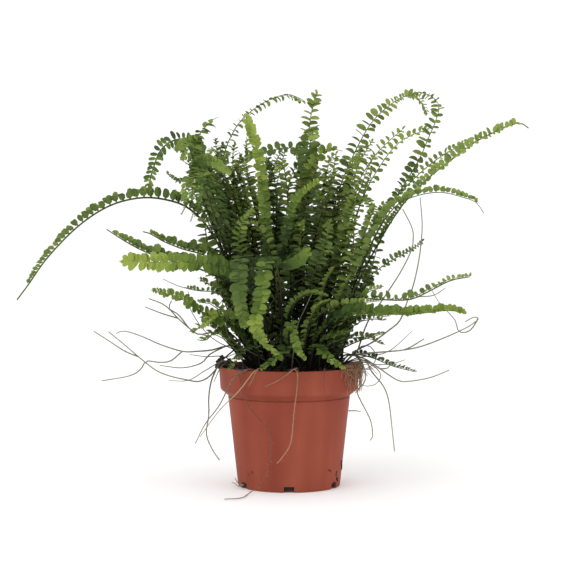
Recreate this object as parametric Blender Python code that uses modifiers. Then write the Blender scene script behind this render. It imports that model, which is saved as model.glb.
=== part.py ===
# Potted lemon button fern: a round nursery pot, a mound of soil, arching fronds and wiry runners.
# Metres, +Z up. The origin is the middle of the pot's base. The front of the plant faces -Y.

import math
from collections import namedtuple

import bmesh
import bpy
from mathutils import Quaternion, Vector
from mathutils.bvhtree import BVHTree

MM = 0.001
WELD = 0.00002

# Pot: outer sizes of a 12 cm nursery pot
POT_HEIGHT = 0.102
POT_RIM_RADIUS = 0.0596
POT_BAND_HEIGHT = 0.0204
POT_BAND_TAPER = 0.0011
POT_NECK_RADIUS = 0.0518
POT_BASE_RADIUS = 0.0435
POT_WALL = 0.0016
POT_LIP = 0.0009
POT_STEPS = 36
NECK_DROP = 0.0046
DRAIN_COUNT = 6
DRAIN_WIDTH = 0.0085
DRAIN_HEIGHT = 0.005
DRAIN_DEPTH = 0.007

# Soil: fills the pot and rises to a low mound
SOIL_TOP = 0.1055
SOIL_FALL = 0.0095
SOIL_BUMP = 0.00035
SOIL_WAVES = (310.0, 270.0)
SOIL_STEPS = 20
SOIL_RINGS = (0.024, 0.044)
GAP = 0.0004
HOLE_RADIUS = 0.0019
HOLE_SIDES = 4
HOLE_DEPTH = 0.008
STEM_DEPTH = 0.0075
STEM_RISE = 0.0015

# Fronds: a thin arched blade, cut into leaflets down to its rib
RIB_THICKNESS = 0.0012
RIB_HALF_WIDTH = 0.0009
RIB_TIP_SHARE = 0.6
RIB_POINT = 2.5
FIRST_REACH = 0.7
REACH_GROWTH = 1.8
REACH_SHRINK = 0.6
LEAF_PITCH = 0.0128
STEM_PITCH = 0.038
LOW_CORNER = 0.86
LEAF_WEIGHT = 0.66
NOTCH_LOW = 0.15
NOTCH_HIGH = 0.2
NOTCH_MOST = 0.42
BEND_NOTCH = 0.6
TEST_CLEARANCE = 0.00035
ROUTE_STEPS = 24

# Runners: wiry stolons, thinner towards their ends
RUNNER_RADIUS = 0.0008
RUNNER_SIDE_SHARE = 0.9
RUNNER_TIP_SHARE = 0.75
RUNNER_PITCH = 0.0125

# Finishes: roughness, and colours as red, green, blue
POT_ROUGHNESS = 0.45
SOIL_ROUGHNESS = 0.95
LEAF_ROUGHNESS = 0.5
RUNNER_ROUGHNESS = 0.7
POT_COLOUR = (0.36, 0.085, 0.05)
SOIL_COLOUR = (0.025, 0.02, 0.016)
RUNNER_COLOUR = (0.17, 0.12, 0.07)
LEAF_COLOURS = {
    "green": (0.075, 0.19, 0.03),
    "lime": (0.26, 0.42, 0.06),
    "dark": (0.04, 0.11, 0.02),
    "pale": (0.2, 0.33, 0.12),
}

# Fronds, placed in this order: name, tint, reach of the leaflets from the rib (mm), turn of the
# blade's upper face towards the front (degrees), fold of the leaflets (degrees), share of the rib
# that is bare, where the stem leaves the soil (x, y in mm), and the rib's route (x, y, z in mm)
Frond = namedtuple("Frond", "name tint reach turn fold bare foot route")
FRONDS = [Frond(*row) for row in (
    ("far_left_arch", "green", 8, 5, 56, 0.4, (-30, 5),
     ((-43, 8, 166), (-65, 4, 213), (-84, -4, 235), (-105, -10, 243), (-127, -12, 244),
      (-152, -12, 237), (-178, -10, 220), (-204, -6, 194), (-221, -2, 171), (-231, 0, 158))),
    ("left_hook", "green", 8.2, 68, 4, 0.7, (-24, 12),
     ((-40, 26, 182), (-62, 36, 248), (-75, 40, 282), (-87, 40, 295), (-100, 38, 295),
      (-111, 36, 287), (-117, 34, 273), (-121, 34, 259), (-123, 34, 249))),
    ("left_crest", "green", 8.5, -40, 22, 0.4, (-25, -9),
     ((-48, -20, 180), (-70, -28, 238), (-79, -32, 271), (-77, -32, 290), (-71, -30, 301),
      (-63, -28, 307))),
    ("top_thin_arch", "green", 6, 30, 34, 0.45, (-12, 24),
     ((-39, 48, 182), (-58, 66, 244), (-59, 72, 279), (-46, 72, 310), (-24, 70, 329),
      (-2, 68, 337), (12, 66, 332))),
    ("front_lime_spire", "lime", 5.8, -28, 20, 0.3, (-6, -20),
     ((-15, -36, 172), (-19, -50, 224), (-22, -56, 258), (-26, -58, 283), (-31, -58, 299),
      (-34, -56, 308), (-30, -50, 313))),
    ("top_centre", "green", 10, 70, 14, 0.42, (4, 6),
     ((9, 12, 190), (12, 16, 239), (15, 18, 277), (17, 18, 303), (20, 16, 322), (24, 14, 337))),
    ("centre_gold_tip", "green", 7, -38, 20, 0.35, (5, -12),
     ((2, -30, 191), (9, -34, 242), (19, -36, 271), (31, -38, 284), (44, -42, 282))),
    ("right_arch_a", "green", 9, 60, 14, 0.38, (18, -4),
     ((30, -8, 190), (38, -10, 236), (47, -10, 264), (58, -10, 288), (69, -8, 307),
      (82, -6, 320), (95, -4, 329), (105, 0, 330), (112, 4, 325), (116, 6, 317))),
    ("right_arch_b", "green", 9, 45, 24, 0.5, (24, 10),
     ((58, 34, 177), (85, 44, 231), (102, 44, 259), (114, 40, 280), (121, 36, 297),
      (127, 30, 312), (129, 26, 324), (122, 22, 332), (111, 20, 335), (102, 18, 333))),
    ("far_right_reach", "green", 7, 46, 28, 0.42, (30, -6),
     ((51, -12, 157), (72, -18, 201), (93, -24, 236), (113, -28, 258), (134, -30, 275),
      (154, -30, 290), (176, -28, 301), (191, -26, 306), (199, -24, 302))),
    ("right_droop", "green", 9, 14, 44, 0.4, (28, -16),
     ((51, -34, 164), (70, -48, 211), (86, -54, 236), (103, -58, 245), (123, -60, 248),
      (141, -58, 244), (152, -56, 240), (159, -52, 231))),
    ("right_twin", "green", 7, 44, 28, 0.45, (28, 4),
     ((47, 14, 164), (69, 18, 210), (89, 18, 241), (105, 16, 259), (123, 14, 275),
      (140, 12, 286), (156, 10, 294))),
    ("right_thin_upper", "green", 7, 30, 26, 0.6, (18, 22),
     ((38, 60, 189), (57, 80, 248), (73, 88, 278), (88, 92, 295), (102, 92, 307))),
    ("right_thin_lower", "green", 7, 36, 26, 0.6, (21, 16),
     ((46, 46, 192), (66, 60, 247), (81, 66, 274), (95, 68, 292), (109, 68, 301),
      (121, 66, 305))),
    ("right_mid_dark", "dark", 5.5, 40, 20, 0.35, (32, 16),
     ((50, 46, 145), (68, 60, 172), (85, 66, 186), (99, 70, 194), (110, 70, 200),
      (119, 70, 207))),
    ("right_low_long", "green", 7, 25, 40, 0.3, (24, -28),
     ((29, -42, 150), (50, -54, 162), (74, -60, 161), (98, -60, 161), (115, -56, 168),
      (132, -50, 176), (148, -46, 179))),
    ("right_low_wide", "lime", 8, 36, 30, 0.3, (18, -34),
     ((31, -60, 138), (49, -78, 150), (72, -90, 151), (96, -94, 151), (114, -94, 153),
      (128, -92, 154), (137, -90, 152))),
    ("left_wide_lime", "lime", 9, 72, 10, 0.35, (-14, -34),
     ((-22, -58, 159), (-39, -76, 182), (-63, -86, 190), (-87, -90, 192), (-110, -92, 192),
      (-135, -92, 193))),
    ("left_thin_point", "green", 9, 20, 50, 0.4, (-20, -26),
     ((-32, -42, 158), (-60, -52, 180), (-87, -58, 190), (-111, -60, 197.5), (-129, -60, 206),
      (-148, -60, 218))),
    ("left_dark_point", "green", 8.5, 25, 45, 0.4, (-31, -15),
     ((-43, -27, 165), (-64, -34, 193), (-89, -35, 202), (-104, -34, 208), (-114, -34, 214),
      (-121, -32, 216))),
    ("left_low_lime", "lime", 7.5, 60, 18, 0.3, (-34, -20),
     ((-40, -40, 133), (-60, -50, 145), (-76, -58, 153), (-88, -62, 162), (-100, -64, 166),
      (-109, -66, 168))),
    ("left_low_thin", "green", 6, 30, 30, 0.35, (-36, 10),
     ((-42, 30, 144), (-60, 40, 161), (-82, 46, 164), (-98, 50, 168), (-111, 50, 174))),
    ("left_low_tip", "lime", 7, 40, 20, 0.3, (-26, -34),
     ((-33, -58, 138), (-49, -68, 148), (-62, -74, 148), (-69, -78, 140))),
    ("front_left_hang", "green", 8.2, 0, 10, 0.57, (-14, -42),
     ((-22, -66, 161), (-31, -84, 192), (-38, -98, 192), (-39, -108, 175), (-37, -112, 158),
      (-35, -113, 144))),
    ("front_lime_hang", "lime", 7.2, 0, 14, 0.5, (-6, -40),
     ((-6, -72, 157), (-10, -92, 189), (-17, -106, 193), (-20, -116, 177), (-22, -120, 159),
      (-26, -120, 145), (-19, -114, 131), (-10, -106, 122))),
    ("front_small_hang", "lime", 5.5, 0, 14, 0.3, (3, -44),
     ((0, -58, 131), (2, -68, 140), (4, -78, 131), (7, -80, 122), (12, -80, 115))),
    ("front_rim_leaf", "lime", 7.5, 0, 14, 0.3, (-8, -48),
     ((-2, -58, 120), (-6, -68, 117), (-14, -74, 110), (-21, -76, 106))),
    ("left_rim_leaf", "dark", 6, 0, 14, 0.3, (-24, -42),
     ((-26, -50, 119), (-35, -58, 119), (-42, -64, 113), (-48, -68, 105))),
    ("right_rim_leaf", "lime", 6.5, 10, 14, 0.3, (16, -44),
     ((21, -56, 121), (28, -66, 117), (35, -70, 111), (43, -72, 106))),
    ("right_low_short", "lime", 6, 30, 14, 0.3, (24, -42),
     ((27, -57, 126), (36, -64, 131), (49, -68, 135))),
    ("centre_lime_leaf", "lime", 6, -50, 12, 0.72, (1, -34),
     ((-8, -64, 158), (-10, -84, 187), (-2, -96, 189), (7, -104, 193), (14, -108, 200))),
    ("centre_diag", "lime", 5, -24, 16, 0.55, (-2, -27),
     ((-8, -50, 183), (-1, -60, 221), (4, -64, 240), (14, -66, 251), (23, -66, 257))),
    ("left_mass_lime", "pale", 6.5, 50, 16, 0.74, (-18, -18),
     ((-48, -38, 182), (-70, -48, 232), (-81, -56, 257), (-77, -63, 272), (-63, -69, 274),
      (-48, -72, 264))),
    ("right_bright", "green", 8.5, -48, 16, 0.3, (18, -16),
     ((41, -34, 183), (50, -42, 230), (59, -44, 252), (64, -44, 267), (70, -42, 278))),
    ("right_bushy", "green", 8.5, -36, 14, 0.25, (22, -22),
     ((39, -42, 152), (50, -50, 189), (53, -52, 213), (51, -52, 232))),
    ("centre_low", "green", 7.5, -22, 14, 0.58, (9, -28),
     ((15, -60, 161), (23, -74, 192), (30, -80, 210), (33, -80, 224))),
    ("left_bushy", "green", 8.5, -30, 14, 0.25, (-12, -30),
     ((-28, -52, 164), (-40, -62, 201), (-38, -68, 222), (-30, -70, 232))),
    ("centre_column", "dark", 9, -18, 12, 0.55, (-2, -6),
     ((-1, -22, 184), (-2, -26, 230), (1, -28, 259), (7, -28, 272))),
    ("left_inner", "dark", 10, -48, 16, 0.3, (-14, -8),
     ((-34, -14, 175), (-43, -18, 221), (-44, -20, 251), (-41, -20, 276))),
    ("left_column", "green", 10, -55, 16, 0.25, (-22, -2),
     ((-53, -6, 156), (-67, -8, 196), (-71, -10, 230), (-68, -10, 251), (-61, -10, 270))),
    ("right_inner", "green", 9, -38, 16, 0.45, (12, -6),
     ((23, -22, 188), (31, -28, 238), (36, -30, 263), (39, -30, 280))),
    ("right_edge", "green", 8.5, 40, 20, 0.25, (36, 0),
     ((52, 4, 141), (66, 8, 170), (76, 10, 204), (85, 12, 226))),
    ("centre_back", "dark", 9.5, 40, 16, 0.35, (0, 26),
     ((-8, 50, 191), (-12, 60, 243), (-8, 62, 270), (-3, 60, 288))),
    ("back_left_bow", "dark", 7, 62, 16, 0.4, (10, 32),
     ((28, 70, 195), (25, 90, 257), (10, 96, 288), (-13, 94, 289), (-35, 88, 282),
      (-52, 80, 271))),
    ("back_tall_left", "green", 8.5, 0, 20, 0.35, (-14, 34),
     ((-24, 62, 180), (-40, 98, 235), (-58, 128, 255), (-76, 150, 248), (-88, 164, 230))),
    ("back_tall_right", "green", 8.5, 0, 20, 0.35, (20, 32),
     ((34, 68, 175), (51, 104, 225), (67, 134, 243), (78, 154, 236), (84, 166, 218))),
    ("back_centre", "lime", 8.5, 0, 18, 0.35, (2, 40),
     ((4, 80, 170), (6, 118, 215), (6, 150, 228), (4, 176, 215), (2, 192, 192))),
    ("back_low_left", "green", 8.5, 0, 16, 0.3, (-26, 26),
     ((-40, 62, 150), (-52, 96, 172), (-60, 126, 172), (-66, 148, 156))),
    ("back_low_right", "lime", 8.5, 0, 16, 0.3, (30, 28),
     ((46, 62, 150), (60, 96, 172), (70, 126, 176), (76, 146, 164))),
    ("back_low_inner", "green", 8.5, 0, 16, 0.3, (-8, 46),
     ((-16, 84, 146), (-26, 120, 158), (-38, 148, 146))),
    ("back_low_outer", "green", 8.5, 0, 16, 0.3, (14, 46),
     ((26, 86, 148), (42, 122, 158), (52, 150, 142))),
    ("back_upright", "dark", 8.5, 20, 16, 0.3, (-24, 22),
     ((-46, 50, 190), (-58, 68, 240), (-62, 84, 268), (-56, 100, 284))),
)]

# Runners: name, where the first stem leaves the soil (x, y in mm), and the strands' routes in mm.
# The first strand continues the stem, and each other one starts on a strand before it.
Runner = namedtuple("Runner", "name foot strands")
RUNNERS = [Runner(*row) for row in (
    ("right_tall", (46, 8),
     (((54, 8, 110), (59, 8, 115), (71, 8, 121), (85, 10, 131), (95, 10, 140), (102, 12, 158),
       (107, 12, 172), (112, 14, 196), (114, 14, 221), (112, 12, 245)),
      ((59, 8, 115), (67, 2, 139), (80, -2, 159), (94, -4, 181), (103, -4, 199), (105, -4, 209),
       (104, -4, 219), (96, -4, 235)))),
    ("right", (42, -24),
     (((48, -27, 112), (55, -29, 113), (64, -32, 115), (75, -34, 116), (95, -36, 118),
       (112, -38, 122), (137, -38, 132), (151, -36, 139), (157, -34, 144), (153, -32, 145),
       (146, -32, 141)),
      ((95, -36, 118), (101, -40, 121), (111, -46, 128)),
      ((55, -29, 113), (64, -36, 110), (75, -42, 103), (89, -46, 94), (98, -47, 93),
       (116, -46, 96), (132, -44, 102)),
      ((64, -36, 110), (68, -42, 101), (77, -46, 90), (81, -47, 81), (83, -47, 71),
       (84, -47, 62), (87, -46, 35)),
      ((55, -29, 113), (60, -38, 108), (63, -44, 100), (62, -46, 92), (56, -47, 85),
       (59, -47, 77), (67, -46, 61), (69, -46, 48), (67, -46, 44)),
      ((75, -42, 103), (81, -39, 103), (84, -38, 106), (85, -38, 109)))),
    ("left", (-38, -8),
     (((-44, -8, 118), (-54, -9, 119), (-65, -10, 116), (-77, -11, 115), (-90, -12, 115),
       (-109, -12, 121), (-125, -12, 128), (-139, -10, 132), (-146, -10, 130)),
      ((-90, -12, 115), (-100, -14, 107), (-110, -15, 106), (-120, -16, 107), (-125, -18, 100),
       (-134, -20, 95), (-157, -22, 91)),
      ((-54, -9, 119), (-67, -5, 112), (-75, -2, 104), (-91, 0, 100), (-110, 0, 102)),
      ((-44, -8, 118), (-56, -16, 108), (-61, -22, 101), (-68, -26, 94), (-76, -28, 91),
       (-87, -30, 93), (-99, -32, 96), (-111, -32, 101), (-125, -32, 112), (-139, -32, 124),
       (-150, -32, 133)),
      ((-125, -32, 112), (-136, -36, 117), (-149, -40, 126), (-161, -42, 134)),
      ((-61, -22, 101), (-65, -26, 91), (-67, -28, 78), (-67, -28, 63), (-69, -28, 47),
       (-64, -28, 34), (-58, -28, 25)))),
    ("left_upper", (-36, 16),
     (((-42, 14, 118), (-49, 17, 127), (-65, 20, 129), (-78, 22, 127), (-87, 22, 133),
       (-96, 22, 141), (-107, 22, 152), (-121, 22, 158)),
      ((-96, 22, 141), (-109, 20, 145), (-124, 18, 151)),
      ((-87, 22, 133), (-96, 26, 144), (-104, 28, 149), (-102, 30, 156)),
      ((-65, 20, 129), (-72, 18, 122), (-79, 16, 123)))),
    ("front", (-2, -52),
     (((-1, -54.5, 102), (2, -59, 106), (6, -63, 103), (6, -63, 92), (2, -60, 68), (0, -57, 44),
       (-6, -54, 32), (-10, -53, 26)),
      ((-1, -54.5, 102), (-8, -53, 101), (-16, -51, 100.8), (-24, -48.8, 101.4), (-29, -50, 104.6),
       (-34, -52, 106),
       (-41, -49, 103), (-41, -48, 98), (-34, -50, 74), (-17, -53, 53), (-15, -52, 33),
       (-22, -49, 10), (-33, -52, 1.2), (-39, -75, 1.2), (-52, -80, 1.2)),
      ((-24, -48.8, 101.4), (-27, -54, 105.8), (-31, -59, 103), (-34, -60.5, 97), (-41, -60, 86),
       (-57, -58, 72), (-73, -55, 48)),
      ((-34, -52, 106), (-46, -50, 99), (-57, -50, 74), (-69, -50, 58), (-77, -50, 42)))),
    ("back", (14, 52),
     (((18, 58, 108), (23, 66, 105), (28, 72, 92), (30, 76, 70), (26, 80, 52)),
      ((23, 66, 105), (36, 78, 108), (56, 92, 104), (78, 104, 92)),
      ((18, 58, 108), (2, 62, 106), (-16, 64, 105), (-26, 76, 108), (-44, 96, 106), (-66, 112, 96)),
      ((-16, 64, 105), (-22, 70, 94), (-26, 72, 72), (-34, 74, 48)))),
)]


def clear_objects():
    for old in list(bpy.data.objects):
        bpy.data.objects.remove(old, do_unlink=True)


def new_collection(name):
    collection = bpy.data.collections.new(name)
    bpy.context.scene.collection.children.link(collection)
    return collection


def add_object(name, data, collection):
    obj = bpy.data.objects.new(name, data)
    collection.objects.link(obj)
    return obj


def mark_cutter(obj):
    obj.hide_render = True
    obj.display_type = "WIRE"


def paint(obj, colour, roughness):
    material = bpy.data.materials.new(obj.name + "_finish")
    material.use_nodes = True
    shader = material.node_tree.nodes["Principled BSDF"]
    shader.inputs["Base Color"].default_value = (*colour, 1.0)
    shader.inputs["Roughness"].default_value = roughness
    shader.inputs["Metallic"].default_value = 0.0
    obj.data.materials.append(material)


def add_boolean(obj, name, operation, cutter=None, collection=None):
    boolean = obj.modifiers.new(name, "BOOLEAN")
    boolean.operation = operation
    boolean.solver = "EXACT"
    if cutter is not None:
        boolean.object = cutter
    else:
        boolean.operand_type = "COLLECTION"
        boolean.collection = collection


def mesh_of(obj):
    # The mesh of an object with its modifiers, welded and in world places
    depsgraph = bpy.context.evaluated_depsgraph_get()
    mesh = bpy.data.meshes.new_from_object(obj.evaluated_get(depsgraph))
    mesh.transform(obj.matrix_world)
    work = bmesh.new()
    work.from_mesh(mesh)
    bmesh.ops.remove_doubles(work, verts=work.verts, dist=WELD)
    work.to_mesh(mesh)
    work.free()
    return mesh


def turned_body(name, profile, steps, collection):
    # A profile in the XZ plane, from the axis out and back to the axis, turned about Z
    mesh = bpy.data.meshes.new(name)
    edges = [(i, i + 1) for i in range(len(profile) - 1)]
    mesh.from_pydata([(radius, 0.0, height) for radius, height in profile], edges, [])
    obj = add_object(name, mesh, collection)
    turn = obj.modifiers.new("Turn", "SCREW")
    turn.steps = steps
    turn.render_steps = steps
    turn.use_merge_vertices = True
    turn.merge_threshold = 0.0001
    turn.use_smooth_shade = True
    return obj


# Pot

def band_bottom():
    return POT_HEIGHT - POT_BAND_HEIGHT


def neck_height():
    return band_bottom() - NECK_DROP


def pot_profile():
    band_radius = POT_RIM_RADIUS - POT_BAND_TAPER
    return (
        (0.0, POT_WALL),
        (POT_BASE_RADIUS - POT_WALL, POT_WALL),
        (POT_NECK_RADIUS - POT_WALL, neck_height()),
        (band_radius - POT_WALL, band_bottom()),
        (POT_RIM_RADIUS - POT_WALL, POT_HEIGHT),
        (POT_RIM_RADIUS - POT_LIP, POT_HEIGHT + POT_LIP / 3),
        (POT_RIM_RADIUS, POT_HEIGHT - POT_LIP),
        (band_radius, band_bottom()),
        (POT_NECK_RADIUS, neck_height()),
        (POT_BASE_RADIUS, POT_LIP),
        (POT_BASE_RADIUS - POT_LIP, 0.0),
        (0.0, 0.0),
    )


def drain_cutter(collection):
    # Slots through the corner of floor and wall, the first one at the front
    work = bmesh.new()
    for index in range(DRAIN_COUNT):
        made = bmesh.ops.create_cube(work, size=1.0)["verts"]
        bmesh.ops.scale(work, vec=(DRAIN_DEPTH, DRAIN_WIDTH, 2 * DRAIN_HEIGHT), verts=made)
        bmesh.ops.translate(work, vec=(POT_BASE_RADIUS, 0.0, 0.0), verts=made)
        angle = math.radians(-90.0) + index * math.tau / DRAIN_COUNT
        spin = Quaternion((0.0, 0.0, 1.0), angle).to_matrix()
        bmesh.ops.rotate(work, cent=(0.0, 0.0, 0.0), matrix=spin, verts=made)
    mesh = bpy.data.meshes.new("drain_slots")
    work.to_mesh(mesh)
    work.free()
    cutter = add_object("drain_slots", mesh, collection)
    mark_cutter(cutter)
    return cutter


def build_pot(parts, cutters):
    pot = turned_body("pot", pot_profile(), POT_STEPS, parts)
    add_boolean(pot, "Drain slots", "DIFFERENCE", cutter=drain_cutter(cutters))
    paint(pot, POT_COLOUR, POT_ROUGHNESS)
    return pot


# Soil

def soil_edge_radius():
    return POT_RIM_RADIUS - POT_WALL - 2 * GAP


def soil_height(x, y):
    share = (x * x + y * y) / soil_edge_radius() ** 2
    return SOIL_TOP - SOIL_FALL * share


def soil_profile():
    band_radius = POT_RIM_RADIUS - POT_BAND_TAPER - POT_WALL - 2 * GAP
    edge = soil_edge_radius()
    top = [(0.0, SOIL_TOP)] + [(ring, soil_height(ring, 0.0)) for ring in SOIL_RINGS]
    return top + [
        (edge, soil_height(edge, 0.0)),
        (band_radius, band_bottom() + GAP),
        (POT_NECK_RADIUS - POT_WALL - GAP, neck_height() + GAP),
        (POT_BASE_RADIUS - POT_WALL - 2 * GAP, POT_WALL + GAP),
        (0.0, POT_WALL + GAP),
    ]


def stem_feet():
    return [(row.foot[0] * MM, row.foot[1] * MM) for row in [*FRONDS, *RUNNERS]]


def hole_cutter(collection):
    work = bmesh.new()
    for x, y in stem_feet():
        made = bmesh.ops.create_cone(
            work, cap_ends=True, segments=HOLE_SIDES, radius1=HOLE_RADIUS, radius2=HOLE_RADIUS,
            depth=2 * HOLE_DEPTH)["verts"]
        bmesh.ops.translate(work, vec=(x, y, soil_height(x, y)), verts=made)
    mesh = bpy.data.meshes.new("stem_holes")
    work.to_mesh(mesh)
    work.free()
    cutter = add_object("stem_holes", mesh, collection)
    mark_cutter(cutter)
    return cutter


def build_soil(parts, cutters):
    shape = turned_body("soil_shape", soil_profile(), SOIL_STEPS, parts)
    mesh = mesh_of(shape)
    bpy.data.objects.remove(shape, do_unlink=True)
    for vertex in mesh.vertices:
        radius = math.hypot(vertex.co.x, vertex.co.y)
        if vertex.co.z > band_bottom() + SOIL_FALL and radius < SOIL_RINGS[-1] + GAP:
            wave = math.sin(vertex.co.x * SOIL_WAVES[0]) + math.cos(vertex.co.y * SOIL_WAVES[1])
            vertex.co.z += SOIL_BUMP * wave
    work = bmesh.new()
    work.from_mesh(mesh)
    bmesh.ops.triangulate(work, faces=work.faces)
    work.to_mesh(mesh)
    work.free()
    soil = add_object("soil", mesh, parts)
    add_boolean(soil, "Stem holes", "DIFFERENCE", cutter=hole_cutter(cutters))
    paint(soil, SOIL_COLOUR, SOIL_ROUGHNESS)
    return soil


# Routes

def smooth_route(points):
    # A dense smooth curve through the points
    ends = [2 * points[0] - points[1], *points, 2 * points[-1] - points[-2]]
    dense = []
    for i in range(1, len(ends) - 2):
        a, b, c, d = ends[i - 1:i + 3]
        for step in range(ROUTE_STEPS):
            t = step / ROUTE_STEPS
            dense.append(0.5 * (2 * b + (c - a) * t + (2 * a - 5 * b + 4 * c - d) * t * t
                                + (3 * b - a - 3 * c + d) * t * t * t))
    dense.append(points[-1].copy())
    return dense


def route_marks(dense):
    # The distance along the route at each of its points
    marks = [0.0]
    for a, b in zip(dense, dense[1:]):
        marks.append(marks[-1] + (b - a).length)
    return marks


def at_distance(dense, marks, distance):
    # Place and direction at a distance along the route
    index = 1
    while index < len(marks) - 1 and marks[index] < distance:
        index += 1
    span = marks[index] - marks[index - 1]
    share = (distance - marks[index - 1]) / span
    place = dense[index - 1].lerp(dense[index], share)
    before = dense[max(index - 2, 0)]
    after = dense[min(index + 1, len(dense) - 1)]
    return place, (after - before).normalized()


def rooted_points(foot, route):
    # The route's points in metres, from just above the soil at the foot
    x, y = foot[0] * MM, foot[1] * MM
    ground = Vector((x, y, soil_height(x, y) + STEM_RISE))
    return [ground] + [Vector(point) * MM for point in route]


# Fronds

def blade_frame(direction, run, turn):
    # Side and upper directions of the blade where its rib has this direction
    across = Vector((-run.y, run.x, 0.0)).normalized()
    side = (across - direction * across.dot(direction)).normalized()
    signed = math.radians(turn) * (1.0 if across.y >= 0.0 else -1.0)
    side.rotate(Quaternion(direction, signed))
    return side, direction.cross(side)


def frond_sections(row):
    # Cross-sections of the rib, and how many of them come before the leaflets
    points = rooted_points(row.foot, row.route)
    dense = smooth_route(points)
    marks = route_marks(dense)
    farthest = max(points, key=lambda p: (p - points[0]).xy.length)
    run = (farthest - points[0]).xy
    total = marks[-1]
    start = row.bare * total
    stem_count = max(1, round(start / STEM_PITCH))
    pair_count = max(3, round((total - start) / LEAF_PITCH))
    distances = [start * i / stem_count for i in range(stem_count)]
    distances += [start + (total - start) * i / pair_count for i in range(pair_count + 1)]
    sections = []
    upright = Vector((0.0, 0.0, 1.0))
    side, upper = blade_frame(upright, run, row.turn)
    for height in (-STEM_DEPTH - STEM_RISE, 0.0):
        sections.append((points[0] + upright * height, side, upper, RIB_HALF_WIDTH))
    for distance in distances[1:]:
        place, direction = at_distance(dense, marks, distance)
        side, upper = blade_frame(direction, run, row.turn)
        half = RIB_HALF_WIDTH * (1.0 - (1.0 - RIB_TIP_SHARE) * distance / total)
        sections.append((place, side, upper, half))
    return sections, stem_count + 1


def leaf_reach(reach, share):
    # Leaflets grow quickly behind the bare stem and shrink towards the tip
    grown = min(1.0, FIRST_REACH + REACH_GROWTH * share)
    return reach * MM * grown * (1.0 - REACH_SHRINK * share ** 3)


def leaflet_corners(edges, index, out, reach):
    # The two outer corners of the leaflet on one stretch of the rib's edge; the leaflet narrows
    # where the rib's edge bends towards it
    a, b = edges[index], edges[index + 1]
    along = (b - a).normalized()
    length = (b - a).length
    start = NOTCH_LOW
    end = NOTCH_HIGH
    if index > 0:
        turn = (along - (a - edges[index - 1]).normalized()).dot(out)
        start += BEND_NOTCH * max(0.0, turn) * reach / length
    if index + 2 < len(edges):
        turn = ((edges[index + 2] - b).normalized() - along).dot(out)
        end += BEND_NOTCH * max(0.0, turn) * reach / length
    low = a + along * length * min(start, NOTCH_MOST) + out * LOW_CORNER * reach
    high = b - along * length * min(end, NOTCH_MOST) + out * reach
    return low, high


def leaflet_points(sections, index, sign, fold, reach):
    # The leaflet's rib points and outer corners, and the direction that it faces
    edges = [place + side * sign * half for place, side, upper, half in sections]
    side = (sections[index][1] + sections[index + 1][1]).normalized()
    upper = (sections[index][2] + sections[index + 1][2]).normalized()
    angle = math.radians(fold)
    out = side * sign * math.cos(angle) + upper * math.sin(angle)
    low, high = leaflet_corners(edges, index, out, reach)
    along = (edges[index + 1] - edges[index]).normalized()
    face = along.cross(out) * sign
    return [edges[index], low, high, edges[index + 1]], face.normalized()


def prism_tree(rings):
    # Search tree over closed prisms, each given as an outline and the vector of half its height
    vertices = []
    faces = []
    for ring, lift in rings:
        first = len(vertices)
        count = len(ring)
        vertices += [point + lift for point in ring] + [point - lift for point in ring]
        for i in range(1, count - 1):
            faces.append((first, first + i, first + i + 1))
            faces.append((first + count, first + count + i, first + count + i + 1))
        for i in range(count):
            j = (i + 1) % count
            faces.append((first + i, first + j, first + count + j))
            faces.append((first + i, first + count + j, first + count + i))
    return BVHTree.FromPolygons(vertices, faces, all_triangles=True)


def rib_rings(sections, clearance):
    rings = []
    for a, b in zip(sections, sections[1:]):
        place_a, side_a, upper_a, half_a = a
        place_b, side_b, upper_b, half_b = b
        wide_a, wide_b = half_a + clearance, half_b + clearance
        ring = [place_a - side_a * wide_a, place_b - side_b * wide_b,
                place_b + side_b * wide_b, place_a + side_a * wide_a]
        lift = (upper_a + upper_b).normalized() * (RIB_THICKNESS / 2 + clearance)
        rings.append((ring, lift))
    return rings


def leaflet_ring(points, face):
    # The leaflet a little larger than life, for testing what it would touch
    centre = sum(points, Vector()) / len(points)
    grown = [point + (point - centre).normalized() * TEST_CLEARANCE for point in points]
    return grown, face * (RIB_THICKNESS / 2 * LEAF_WEIGHT + TEST_CLEARANCE)


def plan_leaflets(row, sections, first, blocked):
    # The leaflets of one frond that stand clear of everything placed before them
    last = len(sections) - 1
    kept = []
    rings = []
    for index in range(first, last):
        share = (index - first) / (last - first)
        size = leaf_reach(row.reach, share)
        for sign in (1.0, -1.0):
            points, face = leaflet_points(sections, index, sign, row.fold, size)
            ring = leaflet_ring(points, face)
            tree = prism_tree([ring])
            far = [rings[i] for i, (other, _, _) in enumerate(kept) if abs(other - index) > 1]
            far += [r for i, r in enumerate(rib_rings(sections, 0.0)) if abs(i - index) > 1]
            own = prism_tree(far) if far else None
            if any(tree.overlap(other) for other in blocked) or (own and tree.overlap(own)):
                continue
            kept.append((index, sign, points))
            rings.append(ring)
    return kept, rings


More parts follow.
